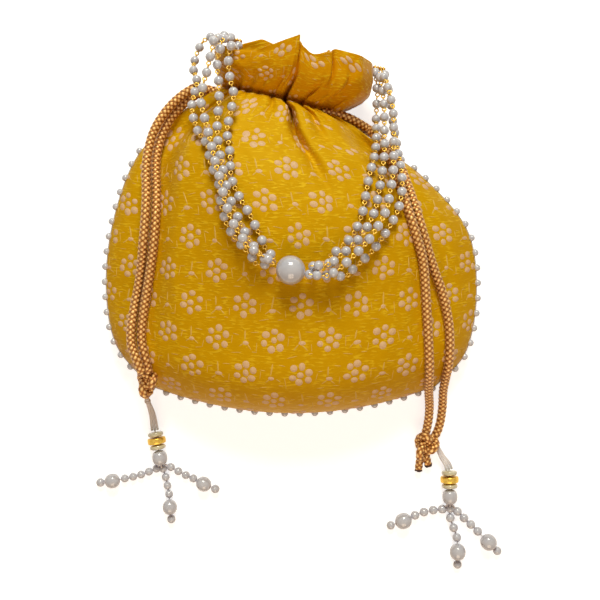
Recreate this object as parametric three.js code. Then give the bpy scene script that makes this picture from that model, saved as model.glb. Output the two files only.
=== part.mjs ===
// Potli bag lying on its back: two gathered fabric panels, a lining, two drawstrings with
// beaded tassels, a pearl-edged seam and a handle of four pearl strands with one large pearl.
// Millimetres, X across the bag, Y toward the mouth, Z up from the table it lies on.
import * as THREE from 'three';

// Overall sizes of the stuffed bag
const bagWidth = 219;
const bagHeight = 220;
const bagDepth = 62;

// Fabric layers and the casing at the neck
const panelWall = 1.2;
const liningWall = 0.8;
const layerGap = 0.6;
const seamGap = 0.3;
const pleatCount = 5;
const cordDiameter = 5.6;
const casingSlack = 1.5;
const slitClearance = 2.2;

// Beads, threads and wires
const threadRadius = 0.45;
const edgePearl = 4.0;
const edgePitch = 8.7;
const handlePearl = 5.5;
const handlePitch = 9.3;
const centrePearl = 16;
const seedPearl = 4.6;
const endPearl = 5.2;
const beadGap = 0.3;
const boreClearance = 0.45;

// Shanks at the corners of the frill that the handle's wire eyes turn on
const shankRadius = 0.9;
const shankLength = 7.6;
const eyeClearance = 0.45;
const eyeSpacing = 1.7;

// Tassel heads and knots
const discDiameter = 10;
const discLength = 3.3;
const ringDiameter = 9;
const ringLength = 2.6;
const barrelDiameter = 8.4;
const barrelLength = 7.5;
const knotDiameter = 13;
const knotLength = 17;

// The control sections below are drawn for this size and stretched to the overall sizes
const drawnWidth = 219;
const drawnHeight = 220;
const drawnDepth = 62;
const stretchX = bagWidth / drawnWidth;
const stretchY = bagHeight / drawnHeight;
const stretchZ = bagDepth / drawnDepth;

// Sections of the bag from the bottom seam to the frill's edge. left and right are the side
// seams, droop is how far the middle hangs below them, seam is the seam's height, front and
// back are the bulges above and below it, full is the roundness and pleat the gather's depth.
const sections = [
  { left: [-84, -96], right: [86, -96], droop: 16, seam: 12, front: 32, back: 16, full: 0.75, pleat: 0 },
  { left: [-103, -73], right: [103, -76], droop: 14, seam: 14, front: 40, back: 22, full: 0.75, pleat: 0 },
  { left: [-109, -42], right: [109, -41], droop: 9, seam: 16, front: 45, back: 26, full: 0.75, pleat: 0 },
  { left: [-106, -5], right: [103, -4], droop: 4, seam: 17, front: 45, back: 28, full: 0.75, pleat: 0 },
  { left: [-94, 33], right: [78, 27], droop: 0, seam: 17, front: 38, back: 26, full: 0.7, pleat: 0.6 },
  { left: [-75, 56], right: [57, 43], droop: 0, seam: 16, front: 28, back: 20, full: 0.5, pleat: 2 },
  { left: [-47, 74], right: [39, 56], droop: 0, seam: 16, front: 18, back: 15, full: 0.38, pleat: 3.5 },
  { left: [-33, 82], right: [28, 64], droop: 0, seam: 16, front: 14, back: 14, full: 0.3, pleat: 4 },
  { left: [-32, 95], right: [39, 75], droop: -1, seam: 19, front: 16, back: 15, full: 0.3, pleat: 5 },
  { left: [-29, 107], right: [48, 92], droop: -4, seam: 22, front: 18, back: 16, full: 0.35, pleat: 6 },
];
const neck = 7;
const frill = sections.length - 1;
const bottomRounding = 1.7;

const group = new THREE.Group();

function add(name, geometry, colour) {
  const mesh = new THREE.Mesh(geometry, new THREE.MeshStandardMaterial({ color: colour }));
  mesh.name = name;
  group.add(mesh);
}

const silkYellow = 0xe0b010;
const liningCream = 0xe8dcc0;
const zariGold = 0xb07820;
const pearlWhite = 0xe6e0ea;
const gold = 0xd9a520;

function smooth(edge0, edge1, x) {
  return THREE.MathUtils.smoothstep(x, edge0, edge1);
}

// One field of the sections at a place between them, on a smooth curve through all of them
function between(pick, t) {
  const i = Math.min(Math.floor(t), frill - 1);
  const value = (k) => pick(sections[THREE.MathUtils.clamp(k, 0, frill)]);
  const f = t - i;
  const a = value(i - 1);
  const b = value(i);
  const c = value(i + 1);
  const d = value(i + 2);
  return b + 0.5 * f * (c - a + f * (2 * a - 5 * b + 4 * c - d + f * (3 * (b - c) + d - a)));
}

const loopInset = panelWall + casingSlack + cordDiameter / 2;
const casingInset = loopInset + cordDiameter / 2 + casingSlack;
const exitHeight = cordDiameter + beadGap - 0.2;
const slitHalf = exitHeight + cordDiameter / 2 + slitClearance;

// The right cord runs in the casing just below the neck line and the left one just above it
const casingPitch = (sections[neck + 1].left[1] - sections[neck].left[1]) * stretchY;
const rightLevel = neck - 0.05;
const leftLevel = rightLevel + (cordDiameter + 3 * beadGap) / casingPitch;
const slitFrom = neck - 0.7;
const slitTo = leftLevel + (cordDiameter / 2 + beadGap) / casingPitch;
const slitFade = 0.3;

function seamEnds(t, inset) {
  const left = new THREE.Vector2(
    between((s) => s.left[0], t) * stretchX,
    between((s) => s.left[1], t) * stretchY,
  );
  const right = new THREE.Vector2(
    between((s) => s.right[0], t) * stretchX,
    between((s) => s.right[1], t) * stretchY,
  );
  const along = right.clone().sub(left).normalize();
  return { left: left.addScaledVector(along, inset), right: right.addScaledVector(along, -inset), along };
}

// A point of the bag: u runs 0 to 1 across, t from the bottom seam to the frill, side is +1 on
// the front and -1 on the back, inset is the depth below the outer face, drawnIn is how much
// farther the sides are pulled in.
function bagPoint(u, t, side, inset, open, drawnIn = 0) {
  const s = (2 * u - 1) * (1.25 - 0.25 * (2 * u - 1) ** 2);
  const { left, right, along } = seamEnds(t, inset + drawnIn);
  const middle = left.clone().lerp(right, (s + 1) / 2);
  const lower = 1 - smooth(0, 2.5, t);
  const hang = between((q) => q.droop, t) * stretchY * (1 - s * s);
  const flat = new THREE.Vector2(middle.x + along.y * hang, middle.y - along.x * hang + inset * lower);
  const roundUp = Math.sqrt(1 - (1 - Math.min(t / bottomRounding, 1)) ** 2);
  const bulge = between((q) => (side > 0 ? q.front : q.back), t) * stretchZ * roundUp;
  const height = bulge - inset * smooth(0, 0.5, t);
  const dome = (1 - s * s) ** between((q) => q.full, t);
  const slitOpens = smooth(slitFrom - slitFade, slitFrom, t);
  const slit = slitHalf * slitOpens * (1 - smooth(slitTo, slitTo + slitFade, t));
  const lift = open ? seamGap / 2 + slit : 0;
  const gather = (0.5 - 0.5 * Math.cos(2 * Math.PI * pleatCount * u)) * between((q) => q.pleat, t) * dome;
  const away = lift + Math.max(height - lift, 0) * dome + (open ? gather : 0);
  const seam = between((q) => q.seam, t) * stretchZ;
  return new THREE.Vector3(flat.x, flat.y, Math.max(seam + side * away, inset));
}

// Closed mesh from lists of corner points and faces
function solid(points, faces) {
  const geometry = new THREE.BufferGeometry();
  const places = points.flatMap((p) => [p.x, p.y, p.z]);
  geometry.setAttribute('position', new THREE.Float32BufferAttribute(places, 3));
  geometry.setIndex(faces.flat());
  geometry.computeVertexNormals();
  return geometry;
}

const panelColumns = 4 * pleatCount;
const panelRows = [
  0, 0.12, 0.35, 0.7, 1.2, 1.8, 2.5, 3.2, 4, 4.7, 5.3, 5.7, 6, 6.3, 7, 7.35, 7.7, 8, 8.5, 9,
];

// Panel: an outer and an inner sheet of the same grid, joined round the rim
function panel(side) {
  const points = [];
  const across = panelColumns + 1;
  for (const inset of [0, panelWall]) {
    for (const t of panelRows) {
      for (let c = 0; c < across; c += 1) {
        points.push(bagPoint(c / panelColumns, t, side, inset, true));
      }
    }
  }
  const inner = across * panelRows.length;
  const faces = [];
  const quad = (a, b, c, d) => {
    const turned = side > 0 ? [a, b, c, a, c, d] : [a, c, b, a, d, c];
    faces.push(turned);
  };
  const last = panelRows.length - 1;
  for (let r = 0; r < last; r += 1) {
    for (let c = 0; c < panelColumns; c += 1) {
      const a = r * across + c;
      quad(a, a + 1, a + across + 1, a + across);
      quad(inner + a, inner + a + across, inner + a + across + 1, inner + a + 1);
    }
    const west = r * across;
    const east = west + panelColumns;
    quad(west, west + across, inner + west + across, inner + west);
    quad(east, inner + east, inner + east + across, east + across);
  }
  for (let c = 0; c < panelColumns; c += 1) {
    const top = last * across + c;
    quad(c, inner + c, inner + c + 1, c + 1);
    quad(top, top + 1, inner + top + 1, inner + top);
  }
  return solid(points, faces);
}

add('front_panel', panel(1), silkYellow);
add('back_panel', panel(-1), silkYellow);

// Lining: a closed-bottomed cup inside the panels, drawn in at the casing
const liningColumns = 12;
const liningRows = [0.12, 0.35, 0.7, 1.2, 1.8, 2.5, 3.2, 4, 4.7, 5.3, 5.7, 6, 6.3, 7, 7.35, 7.7];

function liningInset(t) {
  const plain = panelWall + layerGap;
  return plain + (casingInset - plain) * smooth(4.6, 5.8, t);
}

function liningDrawnIn(t) {
  return 6 * smooth(4.6, 6.2, t) * (1 - smooth(6.4, neck, t));
}

function lining() {
  const points = [];
  const around = 2 * liningColumns;
  for (const wall of [0, liningWall]) {
    for (const t of liningRows) {
      for (let c = 0; c < around; c += 1) {
        const front = c <= liningColumns;
        const u = front ? c / liningColumns : 2 - c / liningColumns;
        const rise = wall > 0 && t === liningRows[0] ? 0.06 : 0;
        points.push(bagPoint(u, t + rise, front ? 1 : -1, liningInset(t) + wall, false, liningDrawnIn(t)));
      }
    }
  }
  const inner = around * liningRows.length;
  const faces = [];
  const last = liningRows.length - 1;
  for (let c = 0; c < around; c += 1) {
    const next = (c + 1) % around;
    for (let r = 0; r < last; r += 1) {
      const a = r * around;
      const b = a + around;
      faces.push([a + c, a + next, b + next, a + c, b + next, b + c]);
      faces.push([inner + a + c, inner + b + next, inner + a + next]);
      faces.push([inner + a + c, inner + b + c, inner + b + next]);
    }
    const rim = last * around;
    faces.push([rim + c, rim + next, inner + rim + next, rim + c, inner + rim + next, inner + rim + c]);
  }
  for (const base of [0, inner]) {
    for (let c = 0; c < liningColumns; c += 1) {
      const f0 = base + c;
      const f1 = base + c + 1;
      const b0 = base + ((around - c) % around);
      const b1 = base + (around - c - 1);
      const strip = [];
      if (c > 0) {
        strip.push([f0, b1, f1], [f0, b0, b1]);
      } else {
        strip.push([f0, b1, f1]);
      }
      for (const [p, q, r] of strip) {
        if (q !== r) {
          faces.push(base === 0 ? [p, q, r] : [p, r, q]);
        }
      }
    }
  }
  return solid(points, faces);
}

add('lining', lining(), liningCream);

// Everything laid on the bag rests on these: points of the front face, then beads and cords
const rests = [];
const restSteps = 12;
const cordAllowance = 1.2;

for (let r = 0; r < panelRows.length - 1; r += 1) {
  for (let c = 0; c < panelColumns; c += 1) {
    const corner = (dc, dr) => bagPoint((c + dc) / panelColumns, panelRows[r + dr], 1, 0, true);
    const lower = [corner(0, 0), corner(1, 0)];
    const upper = [corner(0, 1), corner(1, 1)];
    for (let i = 0; i < restSteps; i += 1) {
      for (let j = 0; j < restSteps; j += 1) {
        const low = lower[0].clone().lerp(lower[1], i / restSteps);
        const high = upper[0].clone().lerp(upper[1], i / restSteps);
        rests.push({ p: low.lerp(high, j / restSteps), r: 0 });
      }
    }
  }
}

// Lowest centre height of a ball of radius r lying at x, y
function settle(x, y, r) {
  let z = r;
  for (const rest of rests) {
    const reach = r + rest.r + beadGap;
    const d2 = (rest.p.x - x) ** 2 + (rest.p.y - y) ** 2;
    if (d2 < reach * reach) {
      z = Math.max(z, rest.p.z + Math.sqrt(reach * reach - d2));
    }
  }
  return z;
}

// Route over the bag through plan points [x, y] that settle and [x, y, z] that are held
function drape(plan, r, step) {
  const ends = plan.map(([x, y]) => new THREE.Vector3(x, y, 0));
  const flat = new THREE.CatmullRomCurve3(ends, false, 'centripetal');
  const points = [];
  plan.forEach(([x, y, z], i) => {
    const restHeight = z === undefined ? settle(x, y, r) : z;
    points.push({ p: new THREE.Vector3(x, y, restHeight), held: z !== undefined });
    const next = plan[i + 1];
    if (next === undefined || (z !== undefined && next[2] !== undefined)) {
      return;
    }
    const steps = Math.max(1, Math.round(Math.hypot(next[0] - x, next[1] - y) / step));
    for (let k = 1; k < steps; k += 1) {
      const q = flat.getPoint((i + k / steps) / (plan.length - 1));
      points.push({ p: new THREE.Vector3(q.x, q.y, settle(q.x, q.y, r)), held: false });
    }
  });
  for (let pass = 0; pass < 12; pass += 1) {
    for (let i = 1; i < points.length - 1; i += 1) {
      if (!points[i].held) {
        const level = (points[i - 1].p.z + points[i + 1].p.z) / 2;
        points[i].p.z = Math.max(points[i].p.z, level);
      }
    }
  }
  return points.map((q) => q.p);
}

// Body swept along a curve: profile lists [distance along, radius] of its rings
function sweep(curve, profile, sides) {
  const length = curve.getLength();
  const points = [];
  const faces = [];
  let normal = new THREE.Vector3(0.3, 0.2, 1);
  profile.forEach(([s, radius], ring) => {
    const at = THREE.MathUtils.clamp(s / length, 0, 1);
    const centre = curve.getPointAt(at);
    const tangent = curve.getTangentAt(at);
    normal = normal.clone().addScaledVector(tangent, -normal.dot(tangent)).normalize();
    const binormal = tangent.clone().cross(normal);
    for (let k = 0; k < sides; k += 1) {
      const angle = (2 * Math.PI * k) / sides;
      const p = centre.clone().addScaledVector(normal, radius * Math.cos(angle));
      points.push(p.addScaledVector(binormal, radius * Math.sin(angle)));
      if (ring > 0) {
        const a = (ring - 1) * sides + k;
        const b = (ring - 1) * sides + ((k + 1) % sides);
        faces.push([a, b, b + sides, a, b + sides, a + sides]);
      }
    }
  });
  const lastRing = (profile.length - 1) * sides;
  for (let k = 1; k < sides - 1; k += 1) {
    faces.push([0, k + 1, k], [lastRing, lastRing + k, lastRing + k + 1]);
  }
  return solid(points, faces);
}

// Rings of one round bead on a thread of radius thin
function beadRings(s, r, thin) {
  return [[s - r, thin], [s - 0.48 * r, 0.92 * r], [s + 0.48 * r, 0.92 * r], [s + r, thin]];
}

function curveThrough(points) {
  const curve = new THREE.CatmullRomCurve3(points, false, 'centripetal');
  curve.arcLengthDivisions = 600;
  return curve;
}

function rememberRings(curve, profile) {
  const length = curve.getLength();
  for (const [s, r] of profile) {
    rests.push({ p: curve.getPointAt(THREE.MathUtils.clamp(s / length, 0, 1)), r });
  }
}

// Pearl trim along the seam, from the left shoulder round the bottom to the right shoulder
const trimTop = 4.35;
const seamLine = [];
const seamSteps = 24;
for (let i = 0; i <= seamSteps; i += 1) {
  seamLine.push(bagPoint(0, trimTop * (1 - i / seamSteps), 1, 0, false));
}
for (let i = 1; i < seamSteps; i += 1) {
  seamLine.push(bagPoint(i / seamSteps, 0, 1, 0, false));
}
for (let i = 0; i <= seamSteps; i += 1) {
  seamLine.push(bagPoint(1, (trimTop * i) / seamSteps, 1, 0, false));
}
const trimOffset = edgePearl / 2 + beadGap;
const trimLine = seamLine.map((p, i) => {
  const before = seamLine[Math.max(i - 1, 0)];
  const after = seamLine[Math.min(i + 1, seamLine.length - 1)];
  const run = after.clone().sub(before).setZ(0).normalize();
  return new THREE.Vector3(p.x + run.y * trimOffset, p.y - run.x * trimOffset, p.z);
});
const trimCurve = curveThrough(trimLine);
const trimCount = Math.round(trimCurve.getLength() / edgePitch);
const trimProfile = [];
for (let i = 0; i < trimCount; i += 1) {
  const s = ((i + 0.5) * trimCurve.getLength()) / trimCount;
  trimProfile.push(...beadRings(s, edgePearl / 2, threadRadius));
}
add('edge_pearl_trim', sweep(trimCurve, trimProfile, 5), pearlWhite);
rememberRings(trimCurve, trimProfile);

// A turned bead with a bore, its axis along Y until it is placed
function turned(profile, bore, segments) {
  const first = profile[0][1];
  const last = profile[profile.length - 1][1];
  const outline = [[bore, first], ...profile, [bore, last], [bore, first]];
  const points = outline.map(([x, y]) => new THREE.Vector2(x, y));
  return new THREE.LatheGeometry(points, segments);
}

function place(geometry, at, direction) {
  const turn = new THREE.Quaternion();
  turn.setFromUnitVectors(new THREE.Vector3(0, 1, 0), direction.clone().normalize());
  return geometry.applyQuaternion(turn).translate(at.x, at.y, at.z);
}

// Barrel outline of length l and diameter d, its ends the given share of the diameter
function barrelProfile(d, l, endShare, steps) {
  const profile = [];
  for (let i = 0; i <= steps; i += 1) {
    const y = (i / steps - 0.5) * l;
    const swell = endShare + (1 - endShare) * Math.sqrt(Math.max(1 - ((2 * y) / l) ** 2, 0));
    profile.push([(d / 2) * swell, y]);
  }
  return profile;
}

// Knot in a drawstring's two ends: three wraps of the cord side by side
function knotProfile() {
  const profile = [];
  const steps = 9;
  for (let i = 0; i <= steps; i += 1) {
    const y = (i / steps - 0.5) * knotLength;
    const waist = i % 3 === 0 ? 0.84 : 1;
    profile.push([(knotDiameter / 2) * waist, y]);
  }
  return profile;
}

function upon(x, y, ...z) {
  return [x * stretchX, y * stretchY, ...z.map((h) => h * stretchZ)];
}

const knotBore = 0.6;

// Drawstring: out of the side slit, round the neck inside the casing and back out, both ends
// lying over the bag's shoulder to one knot. side is -1 for the left cord and +1 for the right.
function drawstring(name, side, level, frontRun, backRun, knotFrom, knotTo) {
  const { left, right, along } = seamEnds(level, 0);
  const centre = left.clone().lerp(right, 0.5);
  const halfWidth = left.distanceTo(right) / 2;
  const a = halfWidth - loopInset;
  const b = Math.min(between((s) => s.front, level), between((s) => s.back, level)) * stretchZ - loopInset;
  const seam = between((s) => s.seam, level) * stretchZ;
  const at = (x, z) => {
    const p = centre.clone().addScaledVector(along, side * x);
    return [p.x, p.y, seam + z];
  };
  const roundness = 2 * between((s) => s.full, level);
  const startAngle = Math.asin((exitHeight / b) ** (1 / roundness));
  const loop = [at(halfWidth + cordDiameter, exitHeight), at(halfWidth - 4, exitHeight)];
  const loopSteps = 18;
  for (let i = 0; i <= loopSteps; i += 1) {
    const angle = startAngle + (i / loopSteps) * (2 * Math.PI - 2 * startAngle);
    const swing = Math.sin(angle);
    loop.push(at(a * Math.cos(angle), b * Math.sign(swing) * Math.abs(swing) ** roundness));
  }
  loop.push(at(halfWidth - 4, -exitHeight), at(halfWidth + cordDiameter, -exitHeight));

  const top = new THREE.Vector3(...upon(...knotFrom), 0);
  const foot = new THREE.Vector3(...upon(...knotTo), 0);
  const axis = foot.clone().sub(top).normalize();
  const heart = top.clone().lerp(foot, 0.5);
  const knotHeights = [-0.4, 0, 0.4].map((k) => {
    const q = heart.clone().addScaledVector(axis, k * knotLength);
    return settle(q.x, q.y, knotDiameter / 2);
  });
  const cordEnd = heart.clone().addScaledVector(axis, -knotLength / 2 - cordDiameter);
  for (const k of [-1, 0, 1]) {
    const across = axis.clone().cross(new THREE.Vector3(0, 0, 1));
    const q = cordEnd.clone().addScaledVector(across, (k * cordDiameter) / 2);
    knotHeights.push(settle(q.x, q.y, cordDiameter / 2 + cordAllowance));
  }
  heart.z = Math.max(...knotHeights);
  const knotTop = heart.clone().addScaledVector(axis, -knotLength / 2 - beadGap);
  const halfPair = (cordDiameter + beadGap) / 2;
  const sideways = new THREE.Vector3(-axis.y, axis.x, 0).multiplyScalar(-side * halfPair);
  const endOf = (which) => {
    const p = knotTop.clone().addScaledVector(sideways, which);
    const q = p.clone().addScaledVector(axis, -cordDiameter);
    return [[q.x, q.y, q.z], [p.x, p.y, p.z]];
  };

  const r = cordDiameter / 2;
  const backPlan = [loop[loop.length - 1], ...backRun.map((q) => upon(...q)), ...endOf(1)];
  const backPath = drape(backPlan, r + cordAllowance, 12);
  rests.push(...spread(backPath, r));
  const frontPlan = [loop[0], ...frontRun.map((q) => upon(...q)), ...endOf(-1)];
  const frontPath = drape(frontPlan, r + cordAllowance, 12);
  rests.push(...spread(frontPath, r));
  const inside = loop.slice(1, -1).map((p) => new THREE.Vector3(...p));
  const route = curveThrough([...frontPath.reverse(), ...inside, ...backPath]);
  const circle = new THREE.Shape().absarc(0, 0, r, 0, 2 * Math.PI);
  const steps = Math.round(route.getLength() / (1.3 * cordDiameter));
  const cord = new THREE.ExtrudeGeometry(circle, { steps, curveSegments: 4, extrudePath: route });
  add(`drawstring_${name}`, cord, zariGold);

  const knotPoints = place(turned(knotProfile(), knotBore, 14), heart, axis);
  add(`drawstring_${name}_knot`, knotPoints, zariGold);
  rests.push({ p: heart, r: knotDiameter / 2 });
  return heart.clone().addScaledVector(axis, knotLength / 2 + beadGap);
}

// Balls of radius r set along a path, for later pieces to lie on
function spread(path, r) {
  const curve = curveThrough(path);
  const count = Math.ceil(curve.getLength() / 2);
  return curve.getSpacedPoints(count).map((p) => ({ p, r }));
}

const leftRun = [
  [-52, 80], [-63, 74], [-72.5, 65], [-79.5, 54], [-83, 42], [-84, 30], [-83, 10], [-84.5, -12],
  [-88, -34], [-92, -54], [-94, -70],
];
const leftUnderRun = [
  [-50, 76], [-60, 69.5], [-68, 61], [-73.5, 51], [-76.5, 41], [-77.3, 30], [-76.3, 10], [-77.8, -12],
  [-81.3, -34], [-85.3, -54], [-87.2, -70],
];
const rightRun = [
  [43, 59.5], [50, 51], [55.5, 42], [59, 33], [61.5, 24], [65.5, 8], [71, -12], [76, -36],
  [79.5, -68], [81, -98],
];
const rightUnderRun = [
  [43, 59.5], [51, 52.5], [58, 44.5], [63.5, 36], [67.5, 26], [73, 8], [80, -14], [87.5, -36],
  [92, -52], [93.5, -67], [92.5, -84], [90, -99],
];

const leftKnotFoot = drawstring(
  'left', -1, leftLevel, leftRun, leftUnderRun, [-89, -87], [-85, -105],
);
const rightKnotFoot = drawstring(
  'right', 1, rightLevel, rightRun, rightUnderRun, [85, -121], [86.5, -139],
);

// Tassel: a thread from the knot through two discs, a gold ring and a barrel pearl, then three
// beaded ends. Each end lists its seed pearls, then its drop pearl and its end pearl.
function tassel(name, foot, headFrom, headTo, ends, dropDiameter) {
  const lying = discDiameter / 2 + 0.05;
  const from = new THREE.Vector3(...upon(...headFrom), lying);
  const axis = new THREE.Vector3(...upon(...headTo), lying).sub(from).normalize();
  const bore = threadRadius + boreClearance;
  const stack = [
    ['upper_disc', barrelProfile(discDiameter, discLength, 0.8, 3), discLength, pearlWhite],
    ['gold_ring', barrelProfile(ringDiameter, ringLength, 0.7, 3), ringLength, gold],
    ['lower_disc', barrelProfile(discDiameter, discLength, 0.8, 3), discLength, pearlWhite],
    ['barrel_pearl', barrelProfile(barrelDiameter, barrelLength, 0.45, 5), barrelLength, pearlWhite],
  ];
  let along = 0;
  for (const [piece, profile, length, colour] of stack) {
    const middle = from.clone().addScaledVector(axis, along + length / 2);
    add(`tassel_${name}_${piece}`, place(turned(profile, bore, 12), middle, axis), colour);
    along += length + beadGap;
  }
  const headSteps = 6;
  const headLine = [];
  for (let i = 0; i <= headSteps; i += 1) {
    headLine.push(from.clone().addScaledVector(axis, -1.5 + (i / headSteps) * (along + 2)));
  }
  const seedR = seedPearl / 2;
  const dropR = dropDiameter / 2;
  const dropLength = dropDiameter * 1.15;

  const strand = (seeds, start) => {
    const [dx, dy] = upon(...seeds[seeds.length - 1]);
    const [lx, ly] = upon(...seeds[seeds.length - 2]);
    const way = new THREE.Vector3(dx - lx, dy - ly, 0).normalize();
    const seedRest = seedR + 0.05;
    const beads = seeds.slice(0, -1).map((q) => {
      return { p: new THREE.Vector3(...upon(...q), seedRest), r: seedR };
    });
    const drop = new THREE.Vector3(dx, dy, dropR + 0.05);
    const half = dropLength / 2;
    const stop = drop.clone().addScaledVector(way, half + endPearl / 2 + beadGap);
    const waypoints = [...start, ...beads.map((b) => b.p)];
    waypoints.push(drop.clone().addScaledVector(way, -half));
    waypoints.push(drop.clone().addScaledVector(way, half));
    const tail = stop.clone().addScaledVector(way, endPearl / 2);
    waypoints.push(stop, tail);
    const curve = curveThrough(waypoints);
    const total = curve.getLength();
    const samples = curve.getSpacedPoints(800);
    const nearest = (p) => {
      let best = 0;
      samples.forEach((q, i) => {
        if (q.distanceTo(p) < samples[best].distanceTo(p)) {
          best = i;
        }
      });
      return (best / 800) * total;
    };
    const profile = [];
    if (start.length > 0) {
      const bends = Math.ceil(nearest(beads[0].p) / 4);
      for (let i = 0; i < bends; i += 1) {
        profile.push([(i / bends) * (nearest(beads[0].p) - seedR - 1), threadRadius]);
      }
    }
    for (const b of beads) {
      profile.push(...beadRings(nearest(b.p), b.r, threadRadius));
    }
    profile.push([nearest(drop) - half, threadRadius], [nearest(drop) + half, threadRadius]);
    profile.push(...beadRings(total - endPearl / 2, endPearl / 2, threadRadius));
    const pearl = place(turned(barrelProfile(dropDiameter, dropLength, 0.3, 6), bore, 12), drop, way);
    return { geometry: sweep(curve, profile, 6), pearl };
  };

  const [middleEnd, leftEnd, rightEnd] = ends;
  const core = strand(middleEnd, [foot, ...headLine]);
  add(`tassel_${name}_core_string`, core.geometry, pearlWhite);
  add(`tassel_${name}_middle_drop`, core.pearl, pearlWhite);
  const first = strand(leftEnd, []);
  add(`tassel_${name}_left_string`, first.geometry, pearlWhite);
  add(`tassel_${name}_left_drop`, first.pearl, pearlWhite);
  const second = strand(rightEnd, []);
  add(`tassel_${name}_right_string`, second.geometry, pearlWhite);
  add(`tassel_${name}_right_drop`, second.pearl, pearlWhite);
}

tassel('left', leftKnotFoot, [-82.5, -124], [-79, -146], [
  [[-78, -148], [-76.5, -153], [-75, -158], [-73.8, -163], [-72.5, -171]],
  [[-83, -148], [-87.6, -150], [-92.2, -152], [-97, -153.5], [-101.8, -154.3], [-109, -154.8]],
  [[-73, -147.6], [-68.3, -149.8], [-63.6, -151.8], [-58.8, -153.4], [-51.8, -157]],
], 8.6);
tassel('right', rightKnotFoot, [93.6, -147.5], [95, -171], [
  [[95.5, -172], [96, -177], [97.5, -182], [98.4, -187], [98.7, -195.4]],
  [[90.4, -171.6], [85.4, -171.2], [80.4, -172.3], [75.6, -174], [68.4, -177.2]],
  [[100.4, -173], [104.6, -176], [108.2, -179.6], [111.8, -183.2], [117.6, -189]],
], 9.6);

// Handle shanks, one at each top corner of the frill on the line the handle swings about
const corners = seamEnds(frill, 0);
const hingeHeight = between((s) => s.seam, frill) * stretchZ;
const hingeAlong = new THREE.Vector3(corners.along.x, corners.along.y, 0);
const hingeAcross = new THREE.Vector3(-corners.along.y, corners.along.x, 0);
const shankRoot = {
  left: new THREE.Vector3(corners.left.x, corners.left.y, hingeHeight),
  right: new THREE.Vector3(corners.right.x, corners.right.y, hingeHeight),
};
for (const [name, outward] of [['left', -1], ['right', 1]]) {
  const shank = new THREE.CylinderGeometry(shankRadius, shankRadius, shankLength, 16);
  const middle = shankRoot[name].clone();
  middle.addScaledVector(hingeAlong, outward * (seamGap + shankLength / 2));
  add(`handle_shank_${name}`, place(shank, middle, hingeAlong), zariGold);
}

// Large pearl on the front, bored along X for the four strands
const heartAt = new THREE.Vector3(...upon(0, -30), 0);
heartAt.z = settle(heartAt.x, heartAt.y, centrePearl / 2);
const wireSpread = 2 * threadRadius + beadGap;
const heartBore = (wireSpread / 2) * Math.SQRT2 + threadRadius + boreClearance;
const ballProfile = [];
const ballSteps = 9;
const boreAngle = Math.asin((2 * heartBore) / centrePearl);
for (let i = 0; i <= ballSteps; i += 1) {
  const angle = boreAngle + (i / ballSteps) * (Math.PI - 2 * boreAngle);
  ballProfile.push([(centrePearl / 2) * Math.sin(angle), (-centrePearl / 2) * Math.cos(angle)]);
}
const heartPearl = place(turned(ballProfile, heartBore, 18), heartAt, new THREE.Vector3(1, 0, 0));
add('handle_centre_pearl', heartPearl, pearlWhite);
rests.push({ p: heartAt, r: centrePearl / 2 });

// Wire eye round a shank, opening toward the bag's bottom
function eye(corner, outward, slot) {
  const hub = shankRoot[corner].clone();
  hub.addScaledVector(hingeAlong, outward * (seamGap + 1.2 + slot * eyeSpacing));
  const radius = shankRadius + eyeClearance + threadRadius;
  const points = [];
  for (let i = 0; i <= 6; i += 1) {
    const angle = THREE.MathUtils.degToRad(-160 + (i / 6) * 250);
    const p = hub.clone().addScaledVector(hingeAcross, radius * Math.cos(angle));
    p.z += radius * Math.sin(angle);
    points.push([p.x, p.y, p.z]);
  }
  return points;
}

// Handle strand: eye, pearls down the left, through the large pearl, pearls up the right, eye
function handleStrand(
  number, leftPlan, rightPlan, stackY, stackZ, leftSlot, rightSlot, leftBare, rightBare,
) {
  const gate = (dx, away) => {
    const gap = away ? handlePearl + beadGap : wireSpread;
    return [heartAt.x + dx, heartAt.y + (stackY * gap) / 2, heartAt.z + (stackZ * gap) / 2];
  };
  const near = centrePearl / 2 + 1;
  const far = near + 11;
  const r = handlePearl / 2;
  const leftEye = eye('left', -1, leftSlot);
  const rightEye = eye('right', 1, rightSlot).reverse();
  const lastOf = (list) => list[list.length - 1];
  const leftPath = drape([lastOf(leftEye), ...leftPlan.map((q) => upon(...q)), gate(-far, true)], r, 6);
  const rightPath = drape([gate(far, true), ...rightPlan.map((q) => upon(...q)), rightEye[0]], r, 6);
  const through = [-1, -0.5, 0, 0.5, 1].map((k) => new THREE.Vector3(...gate(k * near, false)));
  const vectors = (list) => list.map((p) => new THREE.Vector3(...p));
  const route = curveThrough([
    ...vectors(leftEye.slice(0, -1)), ...leftPath, ...through, ...rightPath, ...vectors(rightEye.slice(1)),
  ]);
  const length = route.getLength();
  const samples = route.getSpacedPoints(1000);
  const bare = (s) => {
    const p = samples[Math.round((s / length) * 1000)];
    const fromPearl = Math.abs(p.x - heartAt.x) < far - 1 && p.distanceTo(heartAt) < far + 4;
    return fromPearl || s < leftBare * handlePearl || s > length - rightBare * handlePearl;
  };
  const profile = [];
  const count = Math.floor(length / handlePitch);
  const pitch = length / count;
  for (let i = 0; i < count; i += 1) {
    const s = (i + 0.5) * pitch;
    if (bare(s)) {
      const rings = s < 14 || s > length - 14 ? 7 : 3;
      for (let k = 0; k < rings; k += 1) {
        profile.push([i * pitch + (k / rings) * pitch, threadRadius]);
      }
    } else {
      profile.push(...beadRings(s, r, threadRadius));
      rests.push({ p: route.getPointAt(s / length), r: r + beadGap });
    }
  }
  profile.push([length, threadRadius]);
  add(`handle_strand_${number}`, sweep(route, profile, 5), pearlWhite);
  rememberRings(route, profile);
}

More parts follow.
